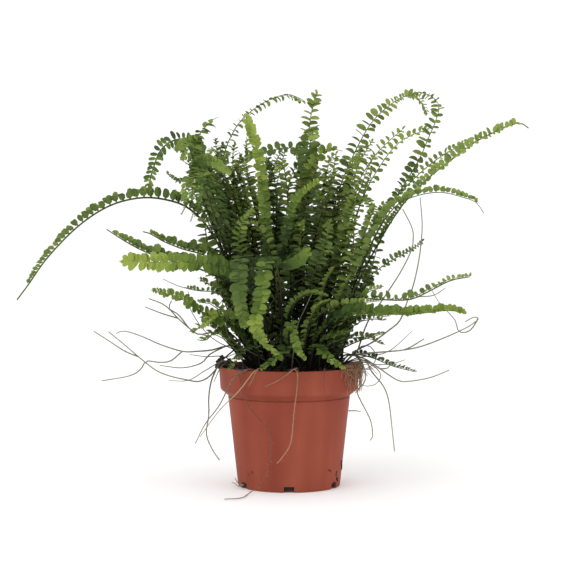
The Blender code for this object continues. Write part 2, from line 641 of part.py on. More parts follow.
def frond_mesh(name, sections, leaflets):
    # One open surface: the rib's strip, a pointed tip and the leaflets
    work = bmesh.new()
    weights = work.verts.layers.deform.verify()

    def add(point, weight):
        vertex = work.verts.new(point)
        vertex[weights][0] = weight
        return vertex

    right = [add(place - side * half, 1.0) for place, side, upper, half in sections]
    left = [add(place + side * half, 1.0) for place, side, upper, half in sections]
    for i in range(len(sections) - 1):
        work.faces.new((right[i], right[i + 1], left[i + 1]))
        work.faces.new((right[i], left[i + 1], left[i]))
    end = sections[-1]
    ahead = (end[0] - sections[-2][0]).normalized()
    tip = add(end[0] + ahead * RIB_POINT * end[3], 1.0)
    work.faces.new((right[-1], tip, left[-1]))
    for index, sign, points in leaflets:
        low = add(points[1], LEAF_WEIGHT)
        high = add(points[2], LEAF_WEIGHT)
        edge = left if sign > 0 else right
        a, b = edge[index], edge[index + 1]
        for trio in ((a, b, high), (a, high, low)):
            work.faces.new(trio if sign > 0 else tuple(reversed(trio)))
    mesh = bpy.data.meshes.new(name)
    work.to_mesh(mesh)
    work.free()
    return mesh


def build_frond(row, sections, leaflets, parts):
    name = "frond_" + row.name
    frond = add_object(name, frond_mesh(name, sections, leaflets), parts)
    frond.vertex_groups.new(name="Thickness")
    solidify = frond.modifiers.new("Thickness", "SOLIDIFY")
    solidify.thickness = RIB_THICKNESS
    solidify.offset = 0.0
    solidify.vertex_group = "Thickness"
    paint(frond, LEAF_COLOURS[row.tint], LEAF_ROUGHNESS)


def build_fronds(parts, solids):
    plans = [frond_sections(row) for row in FRONDS]
    ribs = [prism_tree(rib_rings(sections, TEST_CLEARANCE)) for sections, first in plans]
    placed = []
    for number, (row, (sections, first)) in enumerate(zip(FRONDS, plans)):
        others = ribs[:number] + ribs[number + 1:]
        leaflets, rings = plan_leaflets(row, sections, first, others + placed + solids)
        placed.append(prism_tree(rings))
        build_frond(row, sections, leaflets, parts)


# Runners

def strand_places(points):
    # Places along a smooth route, the route's own points among them
    dense = smooth_route(points)
    places = [dense[0]]
    for i in range(len(points) - 1):
        count = max(1, round((points[i + 1] - points[i]).length / RUNNER_PITCH))
        places += [dense[i * ROUTE_STEPS + ROUTE_STEPS * k // count] for k in range(1, count + 1)]
    return places


def strand_object(name, places, start, end, collection):
    # A four-sided tube through the places, thinner towards its end
    curve = bpy.data.curves.new(name, "CURVE")
    curve.dimensions = "3D"
    curve.bevel_depth = RUNNER_RADIUS
    curve.bevel_resolution = 0
    curve.use_fill_caps = True
    spline = curve.splines.new("POLY")
    spline.points.add(len(places) - 1)
    for i, (point, place) in enumerate(zip(spline.points, places)):
        point.co = (*place, 1.0)
        point.radius = start + (end - start) * i / (len(places) - 1)
    tube = add_object(name, curve, collection)
    mesh = mesh_of(tube)
    bpy.data.objects.remove(tube, do_unlink=True)
    return add_object(name, mesh, collection)


def build_runner(row, parts):
    name = "runners_" + row.name
    pieces = bpy.data.collections.new(name + "_strands")
    bpy.context.scene.collection.children.link(pieces)
    base = None
    for number, strand in enumerate(row.strands):
        if number == 0:
            places = strand_places(rooted_points(row.foot, strand))
            places.insert(0, places[0] - Vector((0.0, 0.0, STEM_DEPTH + STEM_RISE)))
            base = strand_object(name + "_main", places, 1.0, RUNNER_TIP_SHARE, parts)
        else:
            places = strand_places([Vector(point) * MM for point in strand])
            strand_object(name + "_side", places, RUNNER_SIDE_SHARE, RUNNER_TIP_SHARE, pieces)
    add_boolean(base, "Join strands", "UNION", collection=pieces)
    mesh = mesh_of(base)
    for piece in [base, *pieces.objects]:
        bpy.data.objects.remove(piece, do_unlink=True)
    bpy.data.collections.remove(pieces)
    runner = add_object(name, mesh, parts)
    mesh.shade_smooth()
    paint(runner, RUNNER_COLOUR, RUNNER_ROUGHNESS)
    return runner


def solid_tree(obj):
    mesh = mesh_of(obj)
    tree = BVHTree.FromPolygons([v.co for v in mesh.vertices], [p.vertices for p in mesh.polygons])
    bpy.data.meshes.remove(mesh)
    return tree


def main():
    clear_objects()
    parts = new_collection("potted_lemon_button_fern")
    cutters = new_collection("cutters")
    pot = build_pot(parts, cutters)
    soil = build_soil(parts, cutters)
    runners = [build_runner(row, parts) for row in RUNNERS]
    build_fronds(parts, [solid_tree(obj) for obj in (pot, soil, *runners)])


main()
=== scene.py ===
import math
import random
from collections import namedtuple

import bpy
from mathutils import Matrix, Quaternion, Vector, noise


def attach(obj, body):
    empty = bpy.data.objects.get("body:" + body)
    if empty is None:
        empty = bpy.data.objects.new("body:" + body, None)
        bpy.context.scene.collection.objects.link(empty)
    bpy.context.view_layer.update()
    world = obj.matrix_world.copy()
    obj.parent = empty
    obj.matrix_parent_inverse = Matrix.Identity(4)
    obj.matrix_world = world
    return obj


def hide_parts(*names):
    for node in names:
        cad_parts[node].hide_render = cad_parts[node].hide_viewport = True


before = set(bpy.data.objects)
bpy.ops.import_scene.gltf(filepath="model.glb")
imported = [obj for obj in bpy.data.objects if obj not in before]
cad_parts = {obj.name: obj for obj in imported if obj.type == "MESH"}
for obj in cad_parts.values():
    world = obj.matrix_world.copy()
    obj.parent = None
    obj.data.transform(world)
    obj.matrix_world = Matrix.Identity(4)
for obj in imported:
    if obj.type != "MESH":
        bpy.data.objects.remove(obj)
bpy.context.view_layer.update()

# A potted lemon button fern, dressed around its solids. Metres, the plant's front faces -Y.
mm = 0.001
seeds = {"rings": 11, "inner": 300, "soil": 5, "runner": 100, "tangle": 21, "stems": 23}


# helpers for picking up, shaping and finishing a piece

def dropSelection():
    bpy.ops.object.select_all(action="DESELECT")


def pickUp(piece):
    dropSelection()
    piece.select_set(True)
    bpy.context.view_layer.objects.active = piece


def newest(name):
    # the object that an operator has just added, named
    piece = bpy.context.active_object
    piece.name = name
    return piece


def applyAll(piece):
    pickUp(piece)
    for modifier in list(piece.modifiers):
        bpy.ops.object.modifier_apply(modifier=modifier.name)


def joinPieces(name, pieces):
    # one mesh from several
    first = pieces[0]
    pickUp(first)
    for piece in pieces[1:]:
        piece.select_set(True)
    bpy.ops.object.join()
    first.name = name
    return first


def smoothByAngle(piece, degrees):
    pickUp(piece)
    bpy.ops.object.shade_smooth_by_angle(angle=math.radians(degrees))


def giveFinish(piece, *materials):
    piece.data.materials.clear()
    for material in materials:
        piece.data.materials.append(material)


def setPointValue(mesh, name, value):
    # the same number on every point of a mesh, for its material to read
    layer = mesh.attributes.get(name) or mesh.attributes.new(name, "FLOAT", "POINT")
    layer.data.foreach_set("value", [value] * len(mesh.vertices))


def copyOf(pattern, matrix):
    # a copy with its own mesh, its place in the mesh
    piece = pattern.copy()
    piece.data = pattern.data.copy()
    piece.data.transform(matrix)
    bpy.context.scene.collection.objects.link(piece)
    return piece


def putAway(*patterns):
    for pattern in patterns:
        bpy.data.objects.remove(pattern, do_unlink=True)


def onDisc(a, b):
    # a place on a square of half size 1, drawn in to the unit disc
    return a * math.sqrt(1.0 - b * b / 2.0), b * math.sqrt(1.0 - a * a / 2.0)


def pullThrough(outline):
    # pulls the selected ring through radius and height pairs, then closes it
    for (radius, height), (nextRadius, nextHeight) in zip(outline, outline[1:]):
        grow = nextRadius / radius
        bpy.ops.mesh.extrude_region_move(TRANSFORM_OT_translate={"value": (0.0, 0.0, nextHeight - height)})
        bpy.ops.transform.resize(value=(grow, grow, 1.0), center_override=(0.0, 0.0, nextHeight))
    bpy.ops.mesh.fill()


def faceOut():
    # turns all faces outwards and leaves edit mode
    bpy.ops.mesh.select_all(action="SELECT")
    bpy.ops.mesh.normals_make_consistent(inside=False)
    bpy.ops.object.mode_set(mode="OBJECT")


def keep(piece, slot, *nodes):
    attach(piece, "root")
    if nodes:
        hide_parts(*nodes)


class Graph:
    # the nodes of one material; what goes into a node is a number, a triple or another node's socket

    def __init__(self, name):
        self.material = bpy.data.materials.new(name)
        self.material.use_nodes = True
        self.nodes = self.material.node_tree.nodes
        self.shader = self.nodes["Principled BSDF"]

    def feed(self, socket, value):
        if isinstance(value, bpy.types.NodeSocket):
            self.material.node_tree.links.new(value, socket)
        else:
            socket.default_value = (*value, 1.0) if socket.type == "RGBA" else value

    def shade(self, values):
        # the shader's own inputs by their names
        for name, value in values.items():
            self.feed(self.shader.inputs[name], value)

    def add(self, kind, output, inputs={}, **settings):
        # a node of a kind, with its settings and its inputs, and which of its outputs is wanted
        node = self.nodes.new("ShaderNode" + kind)
        for name, value in settings.items():
            setattr(node, name, value)
        for name, value in inputs.items():
            self.feed(node.inputs[name], value)
        return node.outputs[output]

    def place(self):
        return self.add("TexCoord", "Object")

    def point(self, name):
        return self.add("Attribute", "Fac", attribute_name=name)

    def math(self, operation, first, second=0.0, clamp=False):
        return self.add("Math", "Value", {0: first, 1: second}, operation=operation, use_clamp=clamp)

    def times(self, first, second):
        return self.math("MULTIPLY", first, second)

    def plus(self, first, second, clamp=False):
        return self.math("ADD", first, second, clamp)

    def noise(self, vector, scale, detail=3.0, roughness=0.55):
        return self.add("TexNoise", "Fac", {"Vector": vector, "Scale": scale, "Detail": detail,
                                            "Roughness": roughness})

    def span(self, value, low, high, newLow=0.0, newHigh=1.0):
        return self.add("MapRange", "Result", {"Value": value, "From Min": low, "From Max": high,
                                               "To Min": newLow, "To Max": newHigh})

    def mix(self, factor, first, second):
        return self.add("Mix", 2, {"Factor": factor, 6: first, 7: second}, data_type="RGBA")

    def split(self, vector):
        node = self.nodes.new("ShaderNodeSeparateXYZ")
        self.feed(node.inputs["Vector"], vector)
        return node.outputs

    def reach(self, place, core, stretch=(1.0, 1.0, 1.0)):
        # how far a place is from the core, with each axis stretched
        scaled = self.add("VectorMath", "Vector", {0: place, 1: stretch}, operation="MULTIPLY")
        middle = [value * factor for value, factor in zip(core, stretch)]
        return self.add("VectorMath", "Value", {0: scaled, 1: middle}, operation="DISTANCE")

    def ramp(self, factor, stops):
        node = self.nodes.new("ShaderNodeValToRGB")
        elements = node.color_ramp.elements
        while len(elements) < len(stops):
            elements.new(0.5)
        for element, (position, colour) in zip(elements, stops):
            element.position = position
            element.color = (*colour, 1.0)
        self.feed(node.inputs["Fac"], factor)
        return node.outputs["Color"]

    def bump(self, height, strength, distance):
        normal = self.add("Bump", "Normal", {"Strength": strength, "Distance": distance, "Height": height})
        self.shade({"Normal": normal})


# leaflet, rib and runner finishes

leafTints = {
    "green": {"deep": (0.042, 0.069, 0.017), "middle": (0.104, 0.157, 0.031), "bright": (0.225, 0.290, 0.066)},
    "lime": {"deep": (0.045, 0.082, 0.014), "middle": (0.115, 0.172, 0.028), "bright": (0.245, 0.310, 0.055)},
    # dark: the green darkened, for fronds deep in the plant and at its back; darker older leaves and painted
    # shade
    "dark": {"deep": (0.026, 0.043, 0.013), "middle": (0.063, 0.098, 0.026), "bright": (0.125, 0.170, 0.043)},
    "pale": {"deep": (0.045, 0.085, 0.022), "middle": (0.092, 0.155, 0.040), "bright": (0.200, 0.270, 0.060)},
}

leafLook = {
    "shade": (0.010, 0.017, 0.006), "stops": (0.06, 0.30, 0.58, 0.90), "mottle": 160.0, "patch": 28.0,
    "underside": (0.085, 0.135, 0.035), "undersideShare": 0.35, "lit": (0.25, 0.6),
    "vein": (0.120, 0.170, 0.040), "veinShare": 0.25, "veinWidth": 0.07,
    "ribbing": 42.0, "ribbingShare": 0.25, "bump": (0.35, 0.0002),
    "dry": (0.120, 0.085, 0.030), "dryRange": (0.4, 0.6), "roughness": (0.3, 0.7, 0.55, 0.72), "gloss": 0.14,
    "subsurface": 0.12, "subsurfaceScale": 0.0012, "subsurfaceRadius": (0.7, 1.0, 0.3),
    "tone": 0.30, "age": 0.36, "grain": 0.30,
    # core and stretch: a stretched ball round the crown; inside darkens leaflets near it as painted shade,
    # outside lightens far ones as painted light
    "core": (0.0, 0.0, 0.140), "stretch": (1.0, 1.0, 0.6),
    "inside": (0.034, 0.080, -0.10, 0.0), "outside": (0.085, 0.160, 0.0, 0.06),
}


def leafFinish(name, tint):
    look = leafLook
    graph = Graph(name)
    place = graph.place()
    mottle = graph.noise(place, look["mottle"])
    patch = graph.noise(place, look["patch"], detail=1.0)
    tone = graph.times(graph.point("tone"), look["tone"])
    age = graph.times(graph.point("age"), look["age"])
    grain = graph.times(graph.plus(mottle, patch), look["grain"])
    # painted shade: darker near the crown's core; painted light: lighter far out from it
    away = graph.reach(place, look["core"], look["stretch"])
    depth = graph.plus(graph.span(away, *look["inside"]), graph.span(away, *look["outside"]))
    total = graph.plus(graph.plus(graph.plus(tone, age), grain), depth, clamp=True)
    colour = graph.ramp(total, list(zip(look["stops"], (look["shade"], *tint.values()))))
    along, across = graph.split(graph.add("UVMap", "UV", uv_map="leafMap"))[:2]
    offset = graph.math("ABSOLUTE", graph.math("SUBTRACT", across, 0.5))
    lit = graph.span(total, *look["lit"])
    vein = graph.times(graph.span(offset, 0.0, look["veinWidth"], look["veinShare"], 0.0), lit)
    under = graph.times(graph.times(graph.point("under"), look["undersideShare"]), lit)
    worn = graph.times(graph.point("dry"), graph.span(mottle, *look["dryRange"]))
    for share, other in ((vein, "vein"), (under, "underside"), (worn, "dry")):
        colour = graph.mix(share, colour, look[other])
    graph.shade({"Base Color": colour, "Roughness": graph.span(mottle, *look["roughness"]),
                 "Specular IOR Level": look["gloss"], "Subsurface Weight": look["subsurface"],
                 "Subsurface Scale": look["subsurfaceScale"], "Subsurface Radius": look["subsurfaceRadius"]})
    side = graph.math("SINE", graph.times(graph.plus(along, offset), look["ribbing"]))
    relief = graph.math("SUBTRACT", graph.times(side, look["ribbingShare"]), vein)
    graph.bump(relief, *look["bump"])
    return graph.material


ribLook = {
    "stops": ((0.0, (0.007, 0.006, 0.003)), (0.35, (0.042, 0.044, 0.014)), (0.9, (0.085, 0.110, 0.024))),
    # inside darkens the ribs near the crown's core as painted shade
    "grain": 420.0, "grainShare": 0.5, "inside": (0.040, 0.095, -0.9, 0.0),
    "roughness": (0.3, 0.7, 0.5, 0.75), "gloss": 0.12, "bump": (0.4, 0.0002),
}


def ribFinish():
    look = ribLook
    graph = Graph("ribSkin")
    place = graph.place()
    grain = graph.noise(place, look["grain"])
    step = graph.times(graph.math("SUBTRACT", grain, 0.5), look["grainShare"])
    # painted shade: the ribs darken near the crown's core
    away = graph.reach(place, leafLook["core"], leafLook["stretch"])
    step = graph.plus(step, graph.span(away, *look["inside"]))
    share = graph.plus(graph.point("age"), step, clamp=True)
    graph.shade({"Base Color": graph.ramp(share, look["stops"]), "Specular IOR Level": look["gloss"],
                 "Roughness": graph.span(grain, *look["roughness"])})
    graph.bump(grain, *look["bump"])
    return graph.material


runnerTints = {
    "grey": {"near": (0.034, 0.030, 0.018), "far": (0.250, 0.235, 0.175), "moss": (0.130, 0.140, 0.070),
             "reach": (0.048, 0.100)},
    "tan": {"near": (0.200, 0.105, 0.055), "far": (0.430, 0.225, 0.130), "moss": (0.300, 0.190, 0.100),
            "reach": (0.050, 0.090)},
    "pale": {"near": (0.420, 0.260, 0.150), "far": (0.260, 0.240, 0.185), "moss": (0.250, 0.210, 0.130),
             "reach": (0.075, 0.100)},
    "brown": {"near": (0.175, 0.046, 0.027), "far": (0.100, 0.080, 0.062), "moss": (0.130, 0.055, 0.036),
              "reach": (0.112, 0.135)},
    "stem": {"near": (0.020, 0.017, 0.010), "far": (0.045, 0.042, 0.022), "moss": (0.036, 0.040, 0.020),
             "reach": (0.020, 0.085)},
    "root": {"near": (0.120, 0.070, 0.036), "far": (0.300, 0.170, 0.090), "moss": (0.160, 0.110, 0.056),
             "reach": (0.046, 0.062)},
}

runnerLook = {
    "crown": (0.0, 0.0, 0.105), "grain": 300.0, "grainShare": 1.6, "patch": 26.0,
    "moss": (0.52, 0.64, 0.0, 0.7), "roughness": 0.8, "bump": (0.6, 0.0004),
}


def runnerFinish(name, tint):
    # dark at the crown and paler further out
    look = runnerLook
    graph = Graph(name)
    place = graph.place()
    grain = graph.noise(place, look["grain"])
    patch = graph.noise(place, look["patch"], detail=1.0)
    share = graph.span(graph.reach(place, look["crown"]), *tint["reach"])
    step = graph.times(graph.math("SUBTRACT", grain, 0.5), look["grainShare"])
    share = graph.plus(share, step, clamp=True)
    colour = graph.ramp(share, ((0.0, tint["near"]), (1.0, tint["far"])))
    moss = graph.span(patch, *look["moss"])
    graph.shade({"Base Color": graph.mix(moss, colour, tint["moss"]), "Roughness": look["roughness"]})
    graph.bump(grain, *look["bump"])
    return graph.material


# routes, worked out as for the solids

soilForm = {
    "top": 0.1055, "fall": 0.0095, "edge": 0.0572, "rise": 0.0015, "stem": 0.0075,
    "wall": ((0.0556, 0.0820), (0.0498, 0.0774), (0.0411, 0.0020)),
}


def soilHeight(x, y):
    return soilForm["top"] - soilForm["fall"] * (x * x + y * y) / soilForm["edge"] ** 2


def smoothRoute(points, steps=24):
    ends = [2 * points[0] - points[1], *points, 2 * points[-1] - points[-2]]
    dense = []
    for i in range(1, len(ends) - 2):
        a, b, c, d = ends[i - 1:i + 3]
        for step in range(steps):
            t = step / steps
            dense.append(0.5 * (2 * b + (c - a) * t + (2 * a - 5 * b + 4 * c - d) * t * t
                                + (3 * b - a - 3 * c + d) * t * t * t))
    dense.append(points[-1].copy())
    return dense


def routeMarks(dense):
    marks = [0.0]
    for a, b in zip(dense, dense[1:]):
        marks.append(marks[-1] + (b - a).length)
    return marks


def atDistance(dense, marks, distance):
    index = 1
    while index < len(marks) - 1 and marks[index] < distance:
        index += 1
    share = (distance - marks[index - 1]) / (marks[index] - marks[index - 1])
    place = dense[index - 1].lerp(dense[index], share)
    direction = dense[min(index + 1, len(dense) - 1)] - dense[max(index - 2, 0)]
    return place, direction.normalized()


def scaledPoints(route):
    return [Vector(point) * mm for point in route]


def rootedPoints(foot, route):
    x, y = foot[0] * mm, foot[1] * mm
    return [Vector((x, y, soilHeight(x, y) + soilForm["rise"]))] + scaledPoints(route)


def belowSoil(place):
    # where a stem that comes out of the soil at this place begins
    return place - Vector((0.0, 0.0, soilForm["stem"] + soilForm["rise"]))


def bladeFrame(direction, run, turn):
    across = Vector((-run.y, run.x, 0.0)).normalized()
    side = (across - direction * across.dot(direction)).normalized()
    side.rotate(Quaternion(direction, math.radians(turn) * (1.0 if across.y >= 0.0 else -1.0)))
    return side, direction.cross(side)


def roundTubes(name, strands, sides=1):
    # round tubes in one mesh, each through its places with its own radius at each
    curve = bpy.data.curves.new(name, "CURVE")
    curve.dimensions = "3D"
    curve.bevel_depth = 1.0
    curve.bevel_resolution = sides
    curve.use_fill_caps = True
    for places, radii in strands:
        spline = curve.splines.new("POLY")
        spline.points.add(len(places) - 1)
        for point, place, radius in zip(spline.points, places, radii):
            point.co = (*place, 1.0)
            point.radius = radius
    tube = bpy.data.objects.new(name, curve)
    bpy.context.scene.collection.objects.link(tube)
    pickUp(tube)
    bpy.ops.object.convert(target="MESH")
    tube = bpy.context.active_object
    bpy.ops.object.mode_set(mode="EDIT")
    bpy.ops.mesh.select_all(action="SELECT")
    bpy.ops.mesh.remove_doubles(threshold=0.00001)
    bpy.ops.object.mode_set(mode="OBJECT")
    return tube


# leaflets: round ones for each side of a rib, in three depths

leafletForm = {
    "cells": 4, "width": 0.66, "stalk": 0.08, "tooth": 0.045, "lobe": 0.14,
    "crease": 0.10, "droop": 0.12, "thickness": 0.045, "level": 0.3,
    "cups": (-0.05, 0.10, 0.28), "smooth": 50,
}


def leafletPattern(name, hand, cup):
    # one unit long from its stalk, upper face up, its larger lobe on the side that hand gives
    form = leafletForm
    dropSelection()
    bpy.ops.mesh.primitive_grid_add(x_subdivisions=form["cells"], y_subdivisions=form["cells"], size=2.0)
    leaf = newest(name)
    leaf.data.uv_layers[0].name = "leafMap"
    for vertex in leaf.data.vertices:
        a, b = vertex.co.x, vertex.co.y
        u, v = onDisc(a, b)
        onRim = max(abs(a), abs(b)) > 0.99
        number = round((a + 1.0) * form["cells"] / 2.0) + round((b + 1.0) * form["cells"] / 2.0)
        wave = form["tooth"] * (1.0 if number % 2 == 0 else -1.0) if onRim else 0.0
        lobe = form["lobe"] * max(0.0, v * hand) * max(0.0, -u)
        x = 0.5 + 0.5 * u * (1.0 + wave)
        y = 0.5 * form["width"] * v * (1.0 + wave) * (1.0 + lobe * 2.0)
        if a < -0.99 and abs(b) < 0.01:
            x -= form["stalk"]
        z = form["crease"] * abs(v) * 0.5 + cup * (v * v - form["level"]) * 0.5 - form["droop"] * x * x
        vertex.co = (x + form["stalk"], y, z)
    solid = leaf.modifiers.new("Thickness", "SOLIDIFY")
    solid.thickness = form["thickness"]
    solid.offset = 0.0
    applyAll(leaf)
    under = leaf.data.attributes.new("under", "FLOAT", "FACE")
    under.data.foreach_set("value", [1.0 if face.normal.z < 0.0 else 0.0 for face in leaf.data.polygons])
    smoothByAngle(leaf, form["smooth"])
    return leaf


def leafletPatterns():
    return {hand: [leafletPattern(f"leaflet{hand}{number}", hand, cup)
                   for number, cup in enumerate(leafletForm["cups"])] for hand in (1, -1)}


frondForm = {
    "ribFoot": 0.00080, "ribTip": 0.00028, "ribPitch": 0.006, "ribLeast": 6,
    "firstReach": 0.7, "growth": 1.8, "shrink": 0.6, "narrow": (2.0, 2.0, 1.0), "slim": 1.0,
    "pitch": 0.64, "offset": 0.35, "until": 1.0, "tipLeaf": 0.8, "tipLean": 75.0,
    "cover": 0.14, "lift": 0.0007, "lean": (4, 38), "over": 1,
    "level": {"green": 0.78, "dark": 0.82, "lime": 0.2, "pale": 0.1}, "levelSpread": 0.2,
    "sizeSpread": 0.12, "calm": 1.0, "spread": (8, 9, 16),
    "tone": (0.0, 1.0), "ripen": 0.0, "dryShare": 0.002,
}

# what single fronds have of their own
ownForm = {
    "far_left_arch": {"offset": 0.1, "level": 0.0, "levelSpread": 0.0, "until": 0.9, "cover": 0.05,
        "reach": 9.4, "ribFoot": 0.0011, "ribTip": 0.0006, "slim": 0.92},
    "left_hook": {"pitch": 0.5, "ribFoot": 0.001, "ribTip": 0.0006, "tone": (-0.7, 0.3), "offset": 0.1,
        "shrink": 0.15, "level": 0.1, "levelSpread": 0.1, "slim": 0.68, "firstReach": 0.4, "growth": 1.9,
        "cover": 0.05, "lean": (10, 38), "until": 0.95, "tipLeaf": 0.5},
    "left_crest": {"pitch": 0.58, "shrink": 0.3, "over": -1, "tone": (-0.5, 0.6), "calm": 1.4},
    "top_thin_arch": {"pitch": 0.9, "shrink": 0.3},
    "front_lime_spire": {"pitch": 0.5, "shrink": 0.0, "cover": 0.16, "level": 0.0, "levelSpread": 0.1,
        "calm": 1.1, "over": -1, "until": 0.94, "ripen": 1.3, "tone": (-0.9, -0.1), "tipLeaf": 0.6},
    "top_centre": {"pitch": 0.66, "shrink": 0.4, "level": 0.55, "tone": (0.0, 0.9), "until": 0.96},
    "centre_gold_tip": {"pitch": 0.6, "shrink": 0.2, "tone": (-0.4, 0.6), "tint": "lime", "over": -1,
        "level": 0.0, "until": 0.92, "calm": 1.3, "dryShare": 0.12},
    "right_arch_a": {"pitch": 0.62, "reach": 9.6, "shrink": 0.65, "offset": 0.2, "tone": (-0.9, 0.5),
        "cover": 0.05, "narrow": (0.75, 0.84, 0.6), "ripen": 0.6},
    "right_arch_b": {"pitch": 0.76, "shrink": 0.7, "firstReach": 0.45, "growth": 1.2, "tone": (-0.3, 0.8),
        "cover": 0.08, "ripen": 0.3},
    "far_right_reach": {"pitch": 0.66, "shrink": 0.25, "level": 0.1, "firstReach": 0.4, "growth": 1.0,
        "until": 0.93, "tone": (0.0, 0.9), "ripen": 0.5, "cover": 0.12, "tipLeaf": 0.0, "ribTip": 0.0005},
    "right_droop": {"pitch": 0.66, "offset": 0.1, "until": 0.9, "tone": (0.2, 1.1), "firstReach": 0.8,
        "slim": 1.1, "level": 0.1, "cover": 0.1},
    "right_twin": {"pitch": 0.9, "firstReach": 0.4, "growth": 0.8, "cover": 0.05},
    "right_thin_upper": {"pitch": 0.95, "shrink": 0.3, "tone": (-0.1, 1.0), "tint": "lime", "cover": 0.05,
        "sizeSpread": 0.2},
    "right_thin_lower": {"pitch": 0.95, "shrink": 0.3, "tone": (-0.1, 1.0), "tint": "lime", "cover": 0.05,
        "sizeSpread": 0.2},
    "right_mid_dark": {"pitch": 0.9, "sizeSpread": 0.3},
    "right_low_long": {"pitch": 0.95, "tone": (-0.4, 0.6), "sizeSpread": 0.4, "level": 0.1, "ripen": 0.4,
        "cover": 0.1, "ribTip": 0.0005},
    "right_low_wide": {"pitch": 0.5, "offset": 0.2, "shrink": 0.45, "tone": (-1.1, -0.3), "ripen": 1.0,
        "cover": 0.2, "level": 0.0, "levelSpread": 0.0, "calm": 0.7, "ribFoot": 0.001, "ribTip": 0.0005},
    "left_wide_lime": {"pitch": 0.44, "reach": 8.4, "shrink": 0.1, "cover": 0.08, "calm": 1.1,
        "tone": (-1.6, -0.9), "ripen": 2.2, "until": 0.95, "tipLeaf": 0.6},
    "left_mass_lime": {"pitch": 0.42, "cover": 0.3, "calm": 0.5, "level": 0.0, "ripen": 0.5},
    "left_thin_point": {"pitch": 0.72, "offset": 0.1, "until": 0.94, "sizeSpread": 0.25, "slim": 1.15,
        "level": 0.0, "levelSpread": 0.0, "shrink": 0.7, "cover": 0.2, "ribFoot": 0.0011, "ribTip": 0.0005,
        "tone": (-0.4, 0.5)},
    "left_dark_point": {"pitch": 0.5, "offset": 0.2, "until": 0.92, "sizeSpread": 0.25, "level": 0.0,
        "tone": (-0.2, 0.6), "cover": 0.2, "tipLeaf": 0.0, "ribFoot": 0.001, "ribTip": 0.0005},
    "left_low_thin": {"pitch": 0.9, "tone": (-0.4, 0.4), "until": 0.72, "sizeSpread": 0.25},
    "left_low_lime": {"tone": (-0.5, 0.4), "ripen": 0.6},
    "left_column": {"tone": (0.0, 0.9), "over": -1, "pitch": 0.72},
    "left_inner": {"over": -1, "pitch": 0.72},
    "left_bushy": {"over": -1, "tone": (-0.3, 0.6), "pitch": 0.68},
    "right_inner": {"over": -1, "pitch": 0.72},
    "right_bushy": {"over": -1, "pitch": 0.66, "tone": (-0.3, 0.6)},
    "centre_low": {"over": -1, "pitch": 0.66, "tone": (-0.4, 0.4)},
    "front_left_hang": {"pitch": 0.44, "cover": 0.2, "calm": 0.8, "sizeSpread": 0.14, "tone": (-0.5, 0.1),
        "level": 0.0, "levelSpread": 0.0, "shrink": 0.5},
    "front_lime_hang": {"pitch": 0.56, "cover": 0.2, "shrink": 0.5, "level": 0.0, "levelSpread": 0.05,
        "tone": (-0.6, 0.4), "ripen": 0.4},
    "front_small_hang": {"pitch": 0.6, "cover": 0.2, "level": 0.0, "levelSpread": 0.05,
        "tone": (-0.6, 0.4)},
    "front_rim_leaf": {"tone": (-0.8, 0.3)},
    "right_rim_leaf": {"tone": (-0.6, 0.4), "ripen": 0.4},
    "right_low_short": {"tone": (-0.8, 0.2), "ripen": 0.4},
    "centre_lime_leaf": {"pitch": 0.34, "shrink": 0.2, "cover": 0.3, "calm": 0.2, "firstReach": 0.3,
        "growth": 1.0, "over": -1, "tone": (-0.9, -0.3), "ripen": 0.3},
    "centre_diag": {"pitch": 0.7, "cover": 0.12, "shrink": 0.45, "over": -1, "tone": (-1.4, -0.6),
        "ripen": 1.2, "level": 0.1},
    "right_bright": {"pitch": 0.7, "cover": 0.1, "tone": (-0.2, 0.6), "over": -1},
    "centre_column": {"pitch": 0.72, "over": -1, "tone": (0.1, 1.0)},
    "back_left_bow": {"pitch": 0.85, "shrink": 0.15, "level": 0.15},
}


def leafReach(form, share):
    grown = min(1.0, form["firstReach"] + form["growth"] * share)
    low, high, part = form["narrow"]
    part = part if low < share < high else 1.0
    return form["reach"] * mm * grown * (1.0 - form["shrink"] * share ** 3) * part


def leafletMatrix(place, direction, blade, sign, over, fold, lean, level, twist, size, slim):
    # level turns the leaflet about its own length until it faces the sky;
    # over is -1 on a blade that is turned over
    side, upper = blade
    out = side * sign * math.cos(fold) + upper * math.sin(fold)
    length = (out * math.cos(lean) + direction * math.sin(lean)).normalized()
    face = (direction.cross(out) * sign * over).normalized() * (1.0 - level) + Vector((0.0, 0.0, level))
    face = (face - length * face.dot(length)).normalized()
    face.rotate(Quaternion(length, twist))
    width = face.cross(length)
    axes = Matrix((length, width, face)).transposed().to_4x4()
    return Matrix.Translation(place) @ axes @ Matrix.Diagonal((size, size * slim, size, 1.0))


def frondRib(name, dense, marks, form):
    total = marks[-1]
    count = max(form["ribLeast"], round(total / form["ribPitch"]))
    places = [belowSoil(dense[0])]
    places += [atDistance(dense, marks, total * i / count)[0] for i in range(count + 1)]
    shares = [0.0] + [i / count for i in range(count + 1)]
    span = form["ribFoot"] - form["ribTip"]
    rib = roundTubes(name, [(places, [form["ribFoot"] - span * share for share in shares])])
    age = rib.data.attributes.new("age", "FLOAT", "POINT")
    for vertex, value in zip(rib.data.vertices, age.data):
        nearest = min(range(len(places)), key=lambda i: (places[i] - vertex.co).length_squared)
        value.value = shares[nearest]
    return rib


